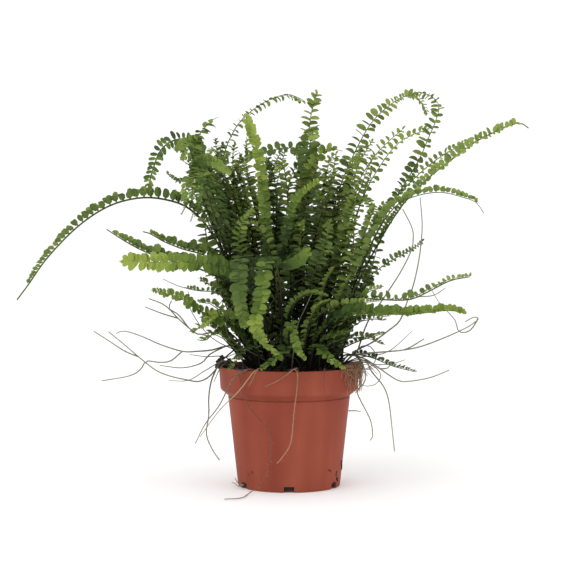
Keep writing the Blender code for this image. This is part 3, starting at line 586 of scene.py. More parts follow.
def leafyFrond(name, row, patterns, chance, finishes, own):
    form = {**frondForm, "reach": row.reach, "tint": row.tint, "level": frondForm["level"][row.tint], **own}
    dense = smoothRoute(rootedPoints(row.foot, row.route))
    marks = routeMarks(dense)
    total = marks[-1]
    start = row.bare * total
    farthest = max(dense, key=lambda p: (p - dense[0]).xy.length)
    run = (farthest - dense[0]).xy
    rib = frondRib(name, dense, marks, form)
    giveFinish(rib, finishes[form["tint"]], finishes["rib"])
    for face in rib.data.polygons:
        face.material_index = 1
    leaves = []
    level = form["level"] + chance.uniform(-1.0, 1.0) * form["levelSpread"]

    def addLeaf(distance, share, sign, size, lean):
        place, direction = atDistance(dense, marks, min(distance, total))
        foldOff, leanOff, twist = (math.radians(chance.gauss(0.0, spread * form["calm"]))
                                   for spread in form["spread"])
        vary = chance.uniform(1.0 - form["sizeSpread"], 1.0 + form["sizeSpread"])
        side, upper = bladeFrame(direction, run, row.turn)
        covered = form["cover"] * size
        place = place - side * sign * covered + upper * form["lift"] * form["over"]
        if form["over"] < 0:
            place = place - upper * covered * math.sin(math.radians(row.fold))
        matrix = leafletMatrix(
            place, direction, (side, upper), sign, form["over"], math.radians(row.fold) + foldOff,
            math.radians(lean) + leanOff, max(0.0, level), twist,
            (size * vary + covered) / (1.0 + leafletForm["stalk"]), form["slim"])
        leaf = copyOf(chance.choice(patterns[-sign * form["over"]]), matrix)
        low, high = form["tone"]
        tone = low + (high - low) * (0.5 + (chance.random() - 0.5) * form["calm"]) + form["ripen"] * share
        dry = 1.0 if chance.random() < form["dryShare"] else 0.0
        for layer, value in (("age", share), ("tone", tone), ("dry", dry)):
            setPointValue(leaf.data, layer, value)
        leaf.data.materials.append(finishes[form["tint"]])
        leaves.append(leaf)

    distance = start
    last = start + (total - start) * form["until"]
    while distance < last:
        share = (distance - start) / (last - start)
        size = leafReach(form, share)
        lean = form["lean"][0] + (form["lean"][1] - form["lean"][0]) * share ** 3
        addLeaf(distance, share, 1, size, lean)
        addLeaf(distance + form["offset"] * form["pitch"] * size, share, -1, size, lean)
        distance += form["pitch"] * size
    if form["tipLeaf"]:
        addLeaf(last, 1.0, 1, size * form["tipLeaf"], form["tipLean"])
    return joinPieces(name, [rib] + leaves)


# fronds of the solids: name, tint, reach of the leaflets from the rib (mm), turn of the upper face
# towards the front (degrees), fold of the leaflets (degrees), bare share of the rib, foot, route (mm)
Frond = namedtuple("Frond", "name tint reach turn fold bare foot route")
fronds = [Frond(*row) for row in (
    ("far_left_arch", "green", 8, 5, 56, 0.4, (-30, 5), ((-43, 8, 166), (-65, 4, 213), (-84, -4, 235),
     (-105, -10, 243), (-127, -12, 244), (-152, -12, 237), (-178, -10, 220), (-204, -6, 194),
     (-221, -2, 171), (-231, 0, 158))),
    ("left_hook", "green", 8.2, 68, 4, 0.7, (-24, 12), ((-40, 26, 182), (-62, 36, 248), (-75, 40, 282),
     (-87, 40, 295), (-100, 38, 295), (-111, 36, 287), (-117, 34, 273), (-121, 34, 259), (-123, 34, 249))),
    ("left_crest", "green", 8.5, -40, 22, 0.4, (-25, -9), ((-48, -20, 180), (-70, -28, 238),
     (-79, -32, 271), (-77, -32, 290), (-71, -30, 301), (-63, -28, 307))),
    ("top_thin_arch", "green", 6, 30, 34, 0.45, (-12, 24), ((-39, 48, 182), (-58, 66, 244), (-59, 72, 279),
     (-46, 72, 310), (-24, 70, 329), (-2, 68, 337), (12, 66, 332))),
    ("front_lime_spire", "lime", 5.8, -28, 20, 0.3, (-6, -20), ((-15, -36, 172), (-19, -50, 224),
     (-22, -56, 258), (-26, -58, 283), (-31, -58, 299), (-34, -56, 308), (-30, -50, 313))),
    ("top_centre", "green", 10, 70, 14, 0.42, (4, 6), ((9, 12, 190), (12, 16, 239), (15, 18, 277),
     (17, 18, 303), (20, 16, 322), (24, 14, 337))),
    ("centre_gold_tip", "green", 7, -38, 20, 0.35, (5, -12), ((2, -30, 191), (9, -34, 242), (19, -36, 271),
     (31, -38, 284), (44, -42, 282))),
    ("right_arch_a", "green", 9, 60, 14, 0.38, (18, -4), ((30, -8, 190), (38, -10, 236), (47, -10, 264),
     (58, -10, 288), (69, -8, 307), (82, -6, 320), (95, -4, 329), (105, 0, 330), (112, 4, 325),
     (116, 6, 317))),
    ("right_arch_b", "green", 9, 45, 24, 0.5, (24, 10), ((58, 34, 177), (85, 44, 231), (102, 44, 259),
     (114, 40, 280), (121, 36, 297), (127, 30, 312), (129, 26, 324), (122, 22, 332), (111, 20, 335),
     (102, 18, 333))),
    ("far_right_reach", "green", 7, 46, 28, 0.42, (30, -6), ((51, -12, 157), (72, -18, 201), (93, -24, 236),
     (113, -28, 258), (134, -30, 275), (154, -30, 290), (176, -28, 301), (191, -26, 306), (199, -24, 302))),
    ("right_droop", "green", 9, 14, 44, 0.4, (28, -16), ((51, -34, 164), (70, -48, 211), (86, -54, 236),
     (103, -58, 245), (123, -60, 248), (141, -58, 244), (152, -56, 240), (159, -52, 231))),
    ("right_twin", "green", 7, 44, 28, 0.45, (28, 4), ((47, 14, 164), (69, 18, 210), (89, 18, 241),
     (105, 16, 259), (123, 14, 275), (140, 12, 286), (156, 10, 294))),
    ("right_thin_upper", "green", 7, 30, 26, 0.6, (18, 22), ((38, 60, 189), (57, 80, 248), (73, 88, 278),
     (88, 92, 295), (102, 92, 307))),
    ("right_thin_lower", "green", 7, 36, 26, 0.6, (21, 16), ((46, 46, 192), (66, 60, 247), (81, 66, 274),
     (95, 68, 292), (109, 68, 301), (121, 66, 305))),
    ("right_mid_dark", "dark", 5.5, 40, 20, 0.35, (32, 16), ((50, 46, 145), (68, 60, 172), (85, 66, 186),
     (99, 70, 194), (110, 70, 200), (119, 70, 207))),
    ("right_low_long", "green", 7, 25, 40, 0.3, (24, -28), ((29, -42, 150), (50, -54, 162), (74, -60, 161),
     (98, -60, 161), (115, -56, 168), (132, -50, 176), (148, -46, 179))),
    ("right_low_wide", "lime", 8, 36, 30, 0.3, (18, -34), ((31, -60, 138), (49, -78, 150), (72, -90, 151),
     (96, -94, 151), (114, -94, 153), (128, -92, 154), (137, -90, 152))),
    ("left_wide_lime", "lime", 9, 72, 10, 0.35, (-14, -34), ((-22, -58, 159), (-39, -76, 182),
     (-63, -86, 190), (-87, -90, 192), (-110, -92, 192), (-135, -92, 193))),
    ("left_thin_point", "green", 9, 20, 50, 0.4, (-20, -26), ((-32, -42, 158), (-60, -52, 180),
     (-87, -58, 190), (-111, -60, 197.5), (-129, -60, 206), (-148, -60, 218))),
    ("left_dark_point", "green", 8.5, 25, 45, 0.4, (-31, -15), ((-43, -27, 165), (-64, -34, 193),
     (-89, -35, 202), (-104, -34, 208), (-114, -34, 214), (-121, -32, 216))),
    ("left_low_lime", "lime", 7.5, 60, 18, 0.3, (-34, -20), ((-40, -40, 133), (-60, -50, 145),
     (-76, -58, 153), (-88, -62, 162), (-100, -64, 166), (-109, -66, 168))),
    ("left_low_thin", "green", 6, 30, 30, 0.35, (-36, 10), ((-42, 30, 144), (-60, 40, 161), (-82, 46, 164),
     (-98, 50, 168), (-111, 50, 174))),
    ("left_low_tip", "lime", 7, 40, 20, 0.3, (-26, -34), ((-33, -58, 138), (-49, -68, 148), (-62, -74, 148),
     (-69, -78, 140))),
    ("front_left_hang", "green", 8.2, 0, 10, 0.57, (-14, -42), ((-22, -66, 161), (-31, -84, 192),
     (-38, -98, 192), (-39, -108, 175), (-37, -112, 158), (-35, -113, 144))),
    ("front_lime_hang", "lime", 7.2, 0, 14, 0.5, (-6, -40), ((-6, -72, 157), (-10, -92, 189),
     (-17, -106, 193), (-20, -116, 177), (-22, -120, 159), (-26, -120, 145), (-19, -114, 131),
     (-10, -106, 122))),
    ("front_small_hang", "lime", 5.5, 0, 14, 0.3, (3, -44), ((0, -58, 131), (2, -68, 140), (4, -78, 131),
     (7, -80, 122), (12, -80, 115))),
    ("front_rim_leaf", "lime", 7.5, 0, 14, 0.3, (-8, -48), ((-2, -58, 120), (-6, -68, 117), (-14, -74, 110),
     (-21, -76, 106))),
    ("left_rim_leaf", "dark", 6, 0, 14, 0.3, (-24, -42), ((-26, -50, 119), (-35, -58, 119), (-42, -64, 113),
     (-48, -68, 105))),
    ("right_rim_leaf", "lime", 6.5, 10, 14, 0.3, (16, -44), ((21, -56, 121), (28, -66, 117), (35, -70, 111),
     (43, -72, 106))),
    ("right_low_short", "lime", 6, 30, 14, 0.3, (24, -42), ((27, -57, 126), (36, -64, 131),
     (49, -68, 135))),
    ("centre_lime_leaf", "lime", 6, -50, 12, 0.72, (1, -34), ((-8, -64, 158), (-10, -84, 187),
     (-2, -96, 189), (7, -104, 193), (14, -108, 200))),
    ("centre_diag", "lime", 5, -24, 16, 0.55, (-2, -27), ((-8, -50, 183), (-1, -60, 221), (4, -64, 240),
     (14, -66, 251), (23, -66, 257))),
    ("left_mass_lime", "pale", 6.5, 50, 16, 0.74, (-18, -18), ((-48, -38, 182), (-70, -48, 232),
     (-81, -56, 257), (-77, -63, 272), (-63, -69, 274), (-48, -72, 264))),
    ("right_bright", "green", 8.5, -48, 16, 0.3, (18, -16), ((41, -34, 183), (50, -42, 230), (59, -44, 252),
     (64, -44, 267), (70, -42, 278))),
    ("right_bushy", "green", 8.5, -36, 14, 0.25, (22, -22), ((39, -42, 152), (50, -50, 189), (53, -52, 213),
     (51, -52, 232))),
    ("centre_low", "green", 7.5, -22, 14, 0.58, (9, -28), ((15, -60, 161), (23, -74, 192), (30, -80, 210),
     (33, -80, 224))),
    ("left_bushy", "green", 8.5, -30, 14, 0.25, (-12, -30), ((-28, -52, 164), (-40, -62, 201),
     (-38, -68, 222), (-30, -70, 232))),
    ("centre_column", "dark", 9, -18, 12, 0.55, (-2, -6), ((-1, -22, 184), (-2, -26, 230), (1, -28, 259),
     (7, -28, 272))),
    ("left_inner", "dark", 10, -48, 16, 0.3, (-14, -8), ((-34, -14, 175), (-43, -18, 221), (-44, -20, 251),
     (-41, -20, 276))),
    ("left_column", "green", 10, -55, 16, 0.25, (-22, -2), ((-53, -6, 156), (-67, -8, 196), (-71, -10, 230),
     (-68, -10, 251), (-61, -10, 270))),
    ("right_inner", "green", 9, -38, 16, 0.45, (12, -6), ((23, -22, 188), (31, -28, 238), (36, -30, 263),
     (39, -30, 280))),
    ("right_edge", "green", 8.5, 40, 20, 0.25, (36, 0), ((52, 4, 141), (66, 8, 170), (76, 10, 204),
     (85, 12, 226))),
    ("centre_back", "dark", 9.5, 40, 16, 0.35, (0, 26), ((-8, 50, 191), (-12, 60, 243), (-8, 62, 270),
     (-3, 60, 288))),
    ("back_left_bow", "dark", 7, 62, 16, 0.4, (10, 32), ((28, 70, 195), (25, 90, 257), (10, 96, 288),
     (-13, 94, 289), (-35, 88, 282), (-52, 80, 271))),
    ("back_tall_left", "green", 8.5, 0, 20, 0.35, (-14, 34), ((-24, 62, 180), (-40, 98, 235),
     (-58, 128, 255), (-76, 150, 248), (-88, 164, 230))),
    ("back_tall_right", "green", 8.5, 0, 20, 0.35, (20, 32), ((34, 68, 175), (51, 104, 225), (67, 134, 243),
     (78, 154, 236), (84, 166, 218))),
    ("back_centre", "lime", 8.5, 0, 18, 0.35, (2, 40), ((4, 80, 170), (6, 118, 215), (6, 150, 228),
     (4, 176, 215), (2, 192, 192))),
    ("back_low_left", "green", 8.5, 0, 16, 0.3, (-26, 26), ((-40, 62, 150), (-52, 96, 172), (-60, 126, 172),
     (-66, 148, 156))),
    ("back_low_right", "lime", 8.5, 0, 16, 0.3, (30, 28), ((46, 62, 150), (60, 96, 172), (70, 126, 176),
     (76, 146, 164))),
    ("back_low_inner", "green", 8.5, 0, 16, 0.3, (-8, 46), ((-16, 84, 146), (-26, 120, 158),
     (-38, 148, 146))),
    ("back_low_outer", "green", 8.5, 0, 16, 0.3, (14, 46), ((26, 86, 148), (42, 122, 158), (52, 150, 142))),
    ("back_upright", "dark", 8.5, 20, 16, 0.3, (-24, 22), ((-46, 50, 190), (-58, 68, 240), (-62, 84, 268),
     (-56, 100, 284))),
)]


def makeFronds(patterns, finishes):
    for number, row in enumerate(fronds):
        own = ownForm.get(row.name, {})
        piece = leafyFrond("leafy_" + row.name, row, patterns, random.Random(number), finishes, own)
        keep(piece, "leaf_" + own.get("tint", row.tint), "frond_" + row.name)
    print("fronds:", len(fronds))


# inner fronds, in rings: count, height of the heads, how far out they stand, feet (mm), bare share, reach,
# tints in turn
innerRings = (
    (31, (224, 290), (8, 64), (6, 30), 0.36, 8.8, ("green", "dark", "dark", "green")),
    (33, (168, 236), (24, 72), (10, 38), 0.26, 8.8, ("dark", "green", "dark", "green", "dark", "lime")),
    (36, (122, 172), (22, 66), (12, 46), 0.08, 8.4, ("dark", "green", "dark")),
)

# hollow: left, right, back and top (mm) of the middle of the front, where leaflets are dark as painted shade;
# lit: near and far to each side, back and low, where they are bright as painted light
innerForm = {
    "start": 20.0, "golden": 137.5, "around": 12.0, "step": 0.618, "group": 8,
    "sway": 9.0, "droop": 0.10, "droopSpread": (0.2, 1.4), "turn": 50.0, "fold": (12.0, 34.0),
    "widest": 76.0, "narrow": 47.0, "narrowAt": 120.0, "slope": 0.37, "depth": 1.1, "inset": 0.6,
    "stations": (0.3, 0.55, 0.78, 0.92, 1.0), "outPower": 1.4, "upPower": 1.7, "droopFrom": 0.7,
    "own": {"pitch": 0.7, "level": 0.74, "ribPitch": 0.009},
    "hollow": (-22.0, 26.0, -4.0, 196.0), "paintedShadeTone": (-0.9, -0.1),
    "lit": (14.0, 66.0, 4.0, 190.0), "litTone": (0.3, 1.15),
}

# small fronds set one by one, as the rows above
smallFronds = [Frond(*row) for row in (
    ("low_right", "dark", 4.5, 20, 30, 0.3, (34, -20), ((47, -24, 113), (66, -26, 112), (86, -27, 104),
     (105, -27, 99))),
    ("right", "green", 5, 20, 30, 0.3, (30, -10), ((43, -10, 116), (60, -10, 124), (80, -10, 130))),
    ("crest", "dark", 8.5, -45, 20, 0.45, (-22, 4), ((-40, 10, 180), (-56, 16, 235), (-62, 18, 265),
     (-58, 18, 290))),
    ("crest_low", "green", 8, -40, 20, 0.4, (-20, -4), ((-38, -8, 180), (-54, -12, 225), (-66, -14, 252),
     (-76, -14, 266))),
    ("curl", "dark", 4, 40, 20, 0.8, (-24, 2), ((-44, 0, 180), (-66, 0, 235), (-84, 0, 257), (-95, 0, 258),
     (-104, 0, 266))),
    ("clump_tip", "green", 9.5, 10, 12, 0.6, (-20, -8), ((-48, -20, 185), (-68, -34, 243), (-78, -46, 272),
     (-81, -57, 284), (-83, -66, 284), (-84, -73, 275))),
    ("clump_low", "green", 8.5, 10, 14, 0.5, (-20, -14), ((-46, -34, 182), (-63, -50, 234), (-71, -62, 256),
     (-78, -76, 262), (-81, -86, 254), (-83, -92, 240))),
    ("clump_front", "lime", 8, 10, 14, 0.5, (-18, -16), ((-40, -36, 180), (-54, -52, 230), (-62, -66, 255),
     (-67, -80, 262), (-70, -91, 253), (-71, -96, 239))),
    ("clump_inner", "green", 8, 20, 14, 0.4, (-16, -16), ((-38, -30, 178), (-52, -42, 226), (-60, -52, 250),
     (-66, -60, 262), (-74, -66, 264), (-80, -68, 256))),
    ("clump_back", "green", 8, 40, 14, 0.4, (-20, -2), ((-44, -8, 178), (-60, -14, 226), (-68, -18, 252),
     (-76, -20, 266), (-82, -22, 270))),
    ("clump_middle", "green", 7.5, 20, 14, 0.5, (-16, -6), ((-38, -16, 188), (-52, -28, 248),
     (-58, -38, 274), (-62, -48, 282), (-66, -58, 277))),
    ("clump_side", "green", 6, 40, 14, 0.6, (-22, -4), ((-50, -10, 185), (-70, -16, 238), (-79, -20, 262),
     (-85, -22, 274), (-90, -22, 276))),
    ("wire_out", "dark", 3, 30, 20, 0.65, (-22, -8), ((-50, -14, 186), (-66, -16, 227), (-76, -18, 243),
     (-84, -18, 240), (-90, -18, 230))),
    ("wire_in", "dark", 3, 30, 20, 0.65, (-20, -6), ((-48, -10, 184), (-62, -12, 223), (-70, -12, 239),
     (-78, -14, 237), (-82, -14, 225))),
    ("spire_side", "green", 7, 60, 14, 0.45, (-8, -10), ((-20, -20, 185), (-26, -26, 235), (-24, -30, 262),
     (-20, -32, 276))),
    ("spire_back", "dark", 8, 50, 14, 0.45, (-10, 4), ((-18, 10, 190), (-20, 16, 240), (-14, 18, 268),
     (-8, 16, 282))),
    ("top_wide", "green", 10.5, 20, 10, 0.72, (8, -6), ((12, -16, 190), (14, -26, 240), (16, -34, 274),
     (18, -44, 295), (19, -54, 299), (20, -60, 292))),
    ("clump_between", "green", 8, 10, 14, 0.5, (-19, -12), ((-43, -36, 181), (-58, -52, 232),
     (-67, -64, 256), (-73, -78, 264), (-76, -88, 256), (-77, -94, 243))),
    ("clump_fill", "green", 8, 10, 14, 0.5, (-18, -4), ((-40, -14, 186), (-56, -24, 240), (-64, -34, 266),
     (-70, -44, 273))),
    ("gap_right_a", "green", 7, 40, 20, 0.35, (24, -4), ((44, -6, 160), (58, -8, 200), (66, -8, 222),
     (70, -8, 238))),
    ("gap_right_b", "dark", 6.5, 20, 20, 0.35, (26, 2), ((48, 4, 160), (62, 8, 196), (72, 10, 216),
     (78, 10, 230))),
    ("gap_left_a", "green", 8, 20, 20, 0.5, (-12, -4), ((-24, -8, 180), (-34, -12, 228), (-40, -14, 254),
     (-46, -16, 270))),
    ("gap_left_b", "green", 8, 30, 20, 0.5, (-8, -2), ((-16, -4, 182), (-28, -8, 232), (-36, -10, 262),
     (-42, -12, 280))),
    ("gap_left_c", "green", 7.5, 30, 20, 0.4, (-10, -8), ((-22, -14, 170), (-34, -20, 208), (-42, -24, 232),
     (-46, -26, 248))),
    ("low_run_a", "green", 6, 30, 40, 0.3, (10, -40), ((18, -54, 138), (36, -62, 154), (56, -64, 158),
     (74, -62, 160))),
    ("low_run_b", "green", 6, 30, 40, 0.3, (14, -38), ((24, -52, 130), (40, -58, 144), (60, -60, 148),
     (80, -58, 147))),
    ("low_run_c", "dark", 6, 20, 30, 0.25, (18, -36), ((30, -48, 120), (46, -54, 128), (62, -56, 130),
     (76, -54, 124))),
    ("low_run_d", "green", 6.5, 30, 30, 0.3, (22, -30), ((36, -42, 132), (50, -46, 152), (64, -48, 166),
     (76, -48, 170))),
    ("crest_leaf", "green", 8, 60, 8, 0.76, (-22, -8), ((-44, -12, 186), (-62, -18, 240), (-70, -24, 272),
     (-76, -28, 287), (-84, -32, 290), (-92, -36, 284))),
    ("right_mass_a", "green", 9, 72, 16, 0.4, (16, -8), ((32, -14, 190), (40, -16, 232), (47, -18, 258),
     (54, -20, 276))),
    ("right_mass_b", "green", 9, 70, 16, 0.4, (20, -12), ((38, -18, 180), (48, -22, 226), (54, -26, 258),
     (60, -28, 284))),
    ("right_mass_c", "green", 9.5, 66, 16, 0.4, (22, -16), ((40, -24, 172), (52, -30, 214), (60, -34, 242),
     (68, -36, 264))),
    ("right_mass_d", "green", 9.5, 60, 16, 0.4, (20, -20), ((36, -30, 170), (46, -36, 212), (52, -40, 238),
     (58, -42, 256))),
    ("right_mass_e", "green", 8.5, 64, 16, 0.4, (24, -18), ((44, -28, 162), (56, -34, 196), (64, -38, 218),
     (70, -40, 236))),
    ("right_mass_f", "lime", 8, 70, 16, 0.5, (18, 2), ((36, 4, 190), (48, 6, 238), (58, 6, 270),
     (70, 4, 292))),
    ("left_mass_a", "green", 8.5, 66, 16, 0.5, (-12, -6), ((-28, -12, 190), (-40, -16, 240),
     (-47, -18, 270), (-46, -20, 288))),
    ("left_mass_b", "green", 8.5, 66, 16, 0.5, (-8, -4), ((-20, -8, 190), (-30, -12, 240), (-36, -14, 272),
     (-36, -16, 292))),
    ("left_mass_c", "dark", 8.5, 66, 16, 0.5, (-16, -2), ((-36, -6, 190), (-50, -10, 240), (-58, -12, 272),
     (-62, -14, 292))),
    ("fore_a", "green", 7, 30, 30, 0.3, (16, -36), ((22, -50, 130), (26, -60, 158), (30, -66, 176),
     (36, -70, 186))),
    ("fore_b", "green", 7, 30, 30, 0.3, (20, -34), ((30, -46, 130), (38, -54, 152), (44, -58, 168),
     (50, -60, 180))),
    ("fore_c", "green", 6, 30, 30, 0.3, (10, -42), ((14, -56, 128), (18, -64, 146), (24, -70, 156),
     (32, -74, 160))),
    ("fore_d", "green", 7, 30, 30, 0.3, (24, -30), ((36, -40, 126), (46, -46, 142), (54, -50, 152),
     (62, -52, 156))),
    ("fore_e", "dark", 7, 30, 30, 0.3, (28, -26), ((40, -34, 124), (50, -40, 138), (58, -42, 146),
     (68, -42, 150))),
    ("fore_f", "dark", 7, 30, 30, 0.2, (32, -18), ((40, -24, 112), (46, -28, 122), (50, -30, 134),
     (54, -32, 146))),
    ("fore_g", "green", 7, 30, 30, 0.3, (26, -26), ((42, -34, 128), (56, -40, 140), (66, -42, 144),
     (78, -42, 143))),
    ("left_edge_a", "dark", 7, 40, 20, 0.4, (-20, -22), ((-36, -28, 150), (-52, -34, 178), (-62, -36, 190),
     (-72, -38, 192))),
    ("left_edge_b", "green", 7, 40, 20, 0.4, (-24, -20), ((-40, -26, 140), (-56, -30, 162), (-66, -32, 172),
     (-74, -32, 176))),
    ("left_edge_c", "dark", 7, 40, 20, 0.4, (-22, -18), ((-38, -24, 146), (-50, -28, 170), (-58, -30, 186),
     (-66, -32, 202))),
    ("left_edge_d", "green", 8, 20, 20, 0.4, (-28, -28), ((-44, -36, 118), (-58, -42, 134), (-68, -46, 140),
     (-78, -48, 134))),
    ("left_edge_e", "green", 8, 20, 20, 0.4, (-30, -30), ((-42, -38, 114), (-54, -44, 128), (-62, -47, 132),
     (-70, -48, 128))),
    ("left_fill_a", "green", 7, 30, 30, 0.3, (-22, -32), ((-38, -40, 125), (-52, -46, 145), (-62, -48, 156),
     (-74, -46, 158))),
    ("left_fill_b", "dark", 7, 30, 30, 0.3, (-26, -26), ((-42, -34, 130), (-54, -38, 160), (-60, -40, 178),
     (-66, -40, 188))),
    ("left_fill_c", "dark", 7, 30, 30, 0.2, (-34, -20), ((-42, -26, 112), (-48, -30, 120), (-54, -32, 130),
     (-58, -34, 142))),
    ("left_fill_d", "green", 6.5, 30, 30, 0.3, (-30, -24), ((-44, -30, 120), (-56, -34, 134),
     (-64, -36, 142), (-72, -36, 144))),
    ("front_arch", "green", 4.5, 0, 60, 0.5, (-2, -42), ((-3, -50, 130), (1, -62, 152), (10, -70, 163),
     (20, -72, 166), (30, -70, 164))),
    ("low_left_a", "dark", 9, 30, 20, 0.1, (-26, -10), ((-40, -16, 140), (-54, -22, 168), (-64, -26, 190),
     (-69, -28, 205))),
    ("low_left_b", "dark", 9, 20, 20, 0.1, (-28, -4), ((-40, -6, 135), (-52, -8, 158), (-60, -10, 176),
     (-66, -12, 190))),
    ("low_left_c", "green", 9, 30, 20, 0.1, (-24, -20), ((-36, -30, 135), (-46, -38, 154), (-56, -44, 167),
     (-63, -50, 171))),
    ("low_left_d", "dark", 8, 30, 20, 0.1, (-30, -12), ((-40, -16, 124), (-50, -20, 137), (-58, -22, 145),
     (-64, -24, 147))),
    ("low_left_e", "dark", 9, 30, 20, 0.15, (-20, 0), ((-42, 0, 160), (-57, 0, 200), (-65, 0, 226),
     (-69, 0, 244))),
    ("low_right_a", "dark", 9, 30, 20, 0.1, (30, -10), ((42, -14, 136), (54, -18, 162), (63, -20, 184),
     (70, -22, 204))),
    ("low_right_b", "green", 9, 30, 20, 0.1, (28, -16), ((42, -24, 130), (52, -30, 148), (59, -34, 160),
     (65, -36, 166))),
    ("low_right_c", "dark", 9, 30, 20, 0.1, (32, -4), ((46, -6, 132), (57, -8, 154), (65, -8, 172),
     (71, -8, 188))),
    ("low_right_d", "green", 8.5, 40, 20, 0.2, (26, -8), ((48, -12, 160), (64, -14, 198), (73, -16, 222),
     (79, -18, 239))),
)]

smallOwn = {
    "wire_out": {"pitch": 1.2, "sizeSpread": 0.3},
    "wire_in": {"pitch": 1.2, "sizeSpread": 0.3},
    "clump_tip": {"pitch": 0.5, "cover": 0.2, "tone": (-0.2, 0.5), "level": 0.2, "reach": 7.5},
    "clump_low": {"pitch": 0.6, "cover": 0.1, "tone": (-0.6, 0.5), "level": 0.3, "reach": 7.5},
    "clump_front": {"pitch": 0.6, "cover": 0.1, "tone": (-1.1, -0.1), "level": 0.3, "reach": 7.5},
    "clump_between": {"pitch": 0.6, "cover": 0.1, "tone": (-0.6, 0.5), "level": 0.3, "reach": 7.5},
    "clump_inner": {"pitch": 0.6, "level": 0.4, "reach": 6.5},
    "clump_middle": {"pitch": 0.6, "level": 0.4, "reach": 6.5},
    "crest_leaf": {"pitch": 0.42, "cover": 0.18, "calm": 0.8, "level": 0.15, "levelSpread": 0.1,
        "tone": (-0.1, 0.6)},
    "top_wide": {"tone": (0.0, 0.8), "pitch": 0.6, "cover": 0.1, "level": 0.2},
    "front_arch": {"tone": (0.0, 0.6), "level": 0.1},
}


def innerRoute(foot, head, sway, droop):
    # up steeply, then out to the head, with a sideways bow
    form = innerForm
    low = soilHeight(foot.x * mm, foot.y * mm) / mm
    run = Vector((head.x - foot.x, head.y - foot.y, 0.0))
    side = Vector((-run.y, run.x, 0.0)).normalized() * sway
    rise = head.z - low
    route = []
    for t in form["stations"]:
        flat = foot + run * t ** form["outPower"] + side * math.sin(math.pi * t)
        fall = droop * rise * max(0.0, (t - form["droopFrom"]) / (1.0 - form["droopFrom"])) ** 2
        route.append((flat.x, flat.y, low + rise * (1.0 - (1.0 - t) ** form["upPower"]) - fall))
    return tuple(route)


def innerRows():
    form = innerForm
    chance = random.Random(seeds["rings"])
    rows = []
    angle = form["start"]
    for ring, (count, heights, outs, feet, bare, reach, tints) in enumerate(innerRings):
        for number in range(count):
            angle += form["golden"]
            around = math.radians(angle + chance.uniform(-form["around"], form["around"]))
            share = (number * form["step"]) % 1.0
            height = heights[0] + (heights[1] - heights[0]) * chance.random()
            most = min(form["widest"], form["narrow"] + form["slope"] * (height - form["narrowAt"]))
            out = min(outs[0] + (outs[1] - outs[0]) * math.sqrt(share), most - form["inset"] * reach)
            start = feet[0] + (feet[1] - feet[0]) * math.sqrt(share)
            foot = Vector((start * math.cos(around), start * math.sin(around), 0.0))
            head = Vector((out * math.cos(around), out * math.sin(around) * form["depth"], height))
            sway = chance.gauss(0.0, form["sway"])
            route = innerRoute(foot, head, sway, chance.uniform(*form["droopSpread"]) * form["droop"])
            turn = chance.uniform(-form["turn"], form["turn"])
            rows.append(Frond(f"{ring}_{number}", tints[number % len(tints)], reach, turn,
                              chance.uniform(*form["fold"]), bare, (foot.x, foot.y), route))
    return rows


def innerOwn(row):
    # a frond whose tip is in the hollow is dark, as painted shade, one whose tip is in a lit place bright, as
    # painted light
    if row.name in smallOwn:
        return smallOwn[row.name]
    x, y, z = row.route[-1]
    own = dict(innerForm["own"])
    left, right, back, top = innerForm["hollow"]
    if left < x < right and y < back and z < top:
        own["tone"] = innerForm["paintedShadeTone"]
    near, far, back, low = innerForm["lit"]
    if near < abs(x) < far and y < back and z > low:
        own["tone"] = innerForm["litTone"]
    return own


def makeInnerFronds(patterns, finishes):
    # grouped by tint, so that they stay few pieces
    rows = innerRows() + smallFronds
    most = innerForm["group"]
    for tint in ("green", "lime", "dark"):
        own = [leafyFrond("inner_" + row.name, row, patterns, random.Random(seeds["inner"] + number), finishes,
                          innerOwn(row)) for number, row in enumerate(rows) if row.tint == tint]
        for number in range(0, len(own), most):
            keep(joinPieces(f"inner_{tint}_{number // most}", own[number:number + most]), "leaf_" + tint)
    print("inner fronds:", len(rows))


# pot: the moulded shell, turned from its foot up and down its inside

potForm = {
    "height": 0.102, "rim": 0.0596, "band": 0.0204, "bandTaper": 0.0011, "neck": 0.0518, "neckDrop": 0.0046,
    "base": 0.0435, "wall": 0.0016, "lip": 0.0009, "around": 128,
    "bandRound": 0.0042, "bandUnder": 0.0012, "bandSteps": 6, "lipSteps": 5, "baseRound": 0.0012,
    "drains": 6, "drainWidth": 0.0085, "drainHeight": 0.005, "drainDepth": 0.007, "smooth": 35,
}


def potOutline():
    # radius and height pairs, from the middle of the foot up the outside and down the inside,
    # with fine steps of 0.1 to 1.1 mm at the foot, the neck and the lip that round their edges
    form = potForm
    rim, lip, wall, base, neck = form["rim"], form["lip"], form["wall"], form["base"], form["neck"]
    bandFoot = form["height"] - form["band"]
    bandRadius = rim - form["bandTaper"]
    neckTop = bandFoot - form["neckDrop"]
    outline = [(base - form["baseRound"], 0.0), (base - 0.0004, 0.0003), (base, form["baseRound"]),
               (neck, neckTop - 0.0011), (neck - 0.0007, neckTop - 0.0005), (neck - 0.0001, neckTop)]
    for step in range(form["bandSteps"] + 1):
        angle = math.radians(20.0 + 70.0 * step / form["bandSteps"])
        outline.append((bandRadius - form["bandRound"] * (1.0 - math.sin(angle)),
                        bandFoot - form["bandUnder"] + form["bandRound"] * (1.0 - math.cos(angle))))
    lipHeight = form["height"] - lip
    outline.append((rim, lipHeight))
    for step in range(1, form["lipSteps"]):
        angle = math.pi * step / form["lipSteps"]
        outline.append((rim - lip + lip * math.cos(angle), lipHeight + lip * math.sin(angle)))
    return outline + [(rim - wall - 0.0002, form["height"] - 2 * lip), (bandRadius - wall, bandFoot),
                      (neck - wall, neckTop), (base - wall, wall)]


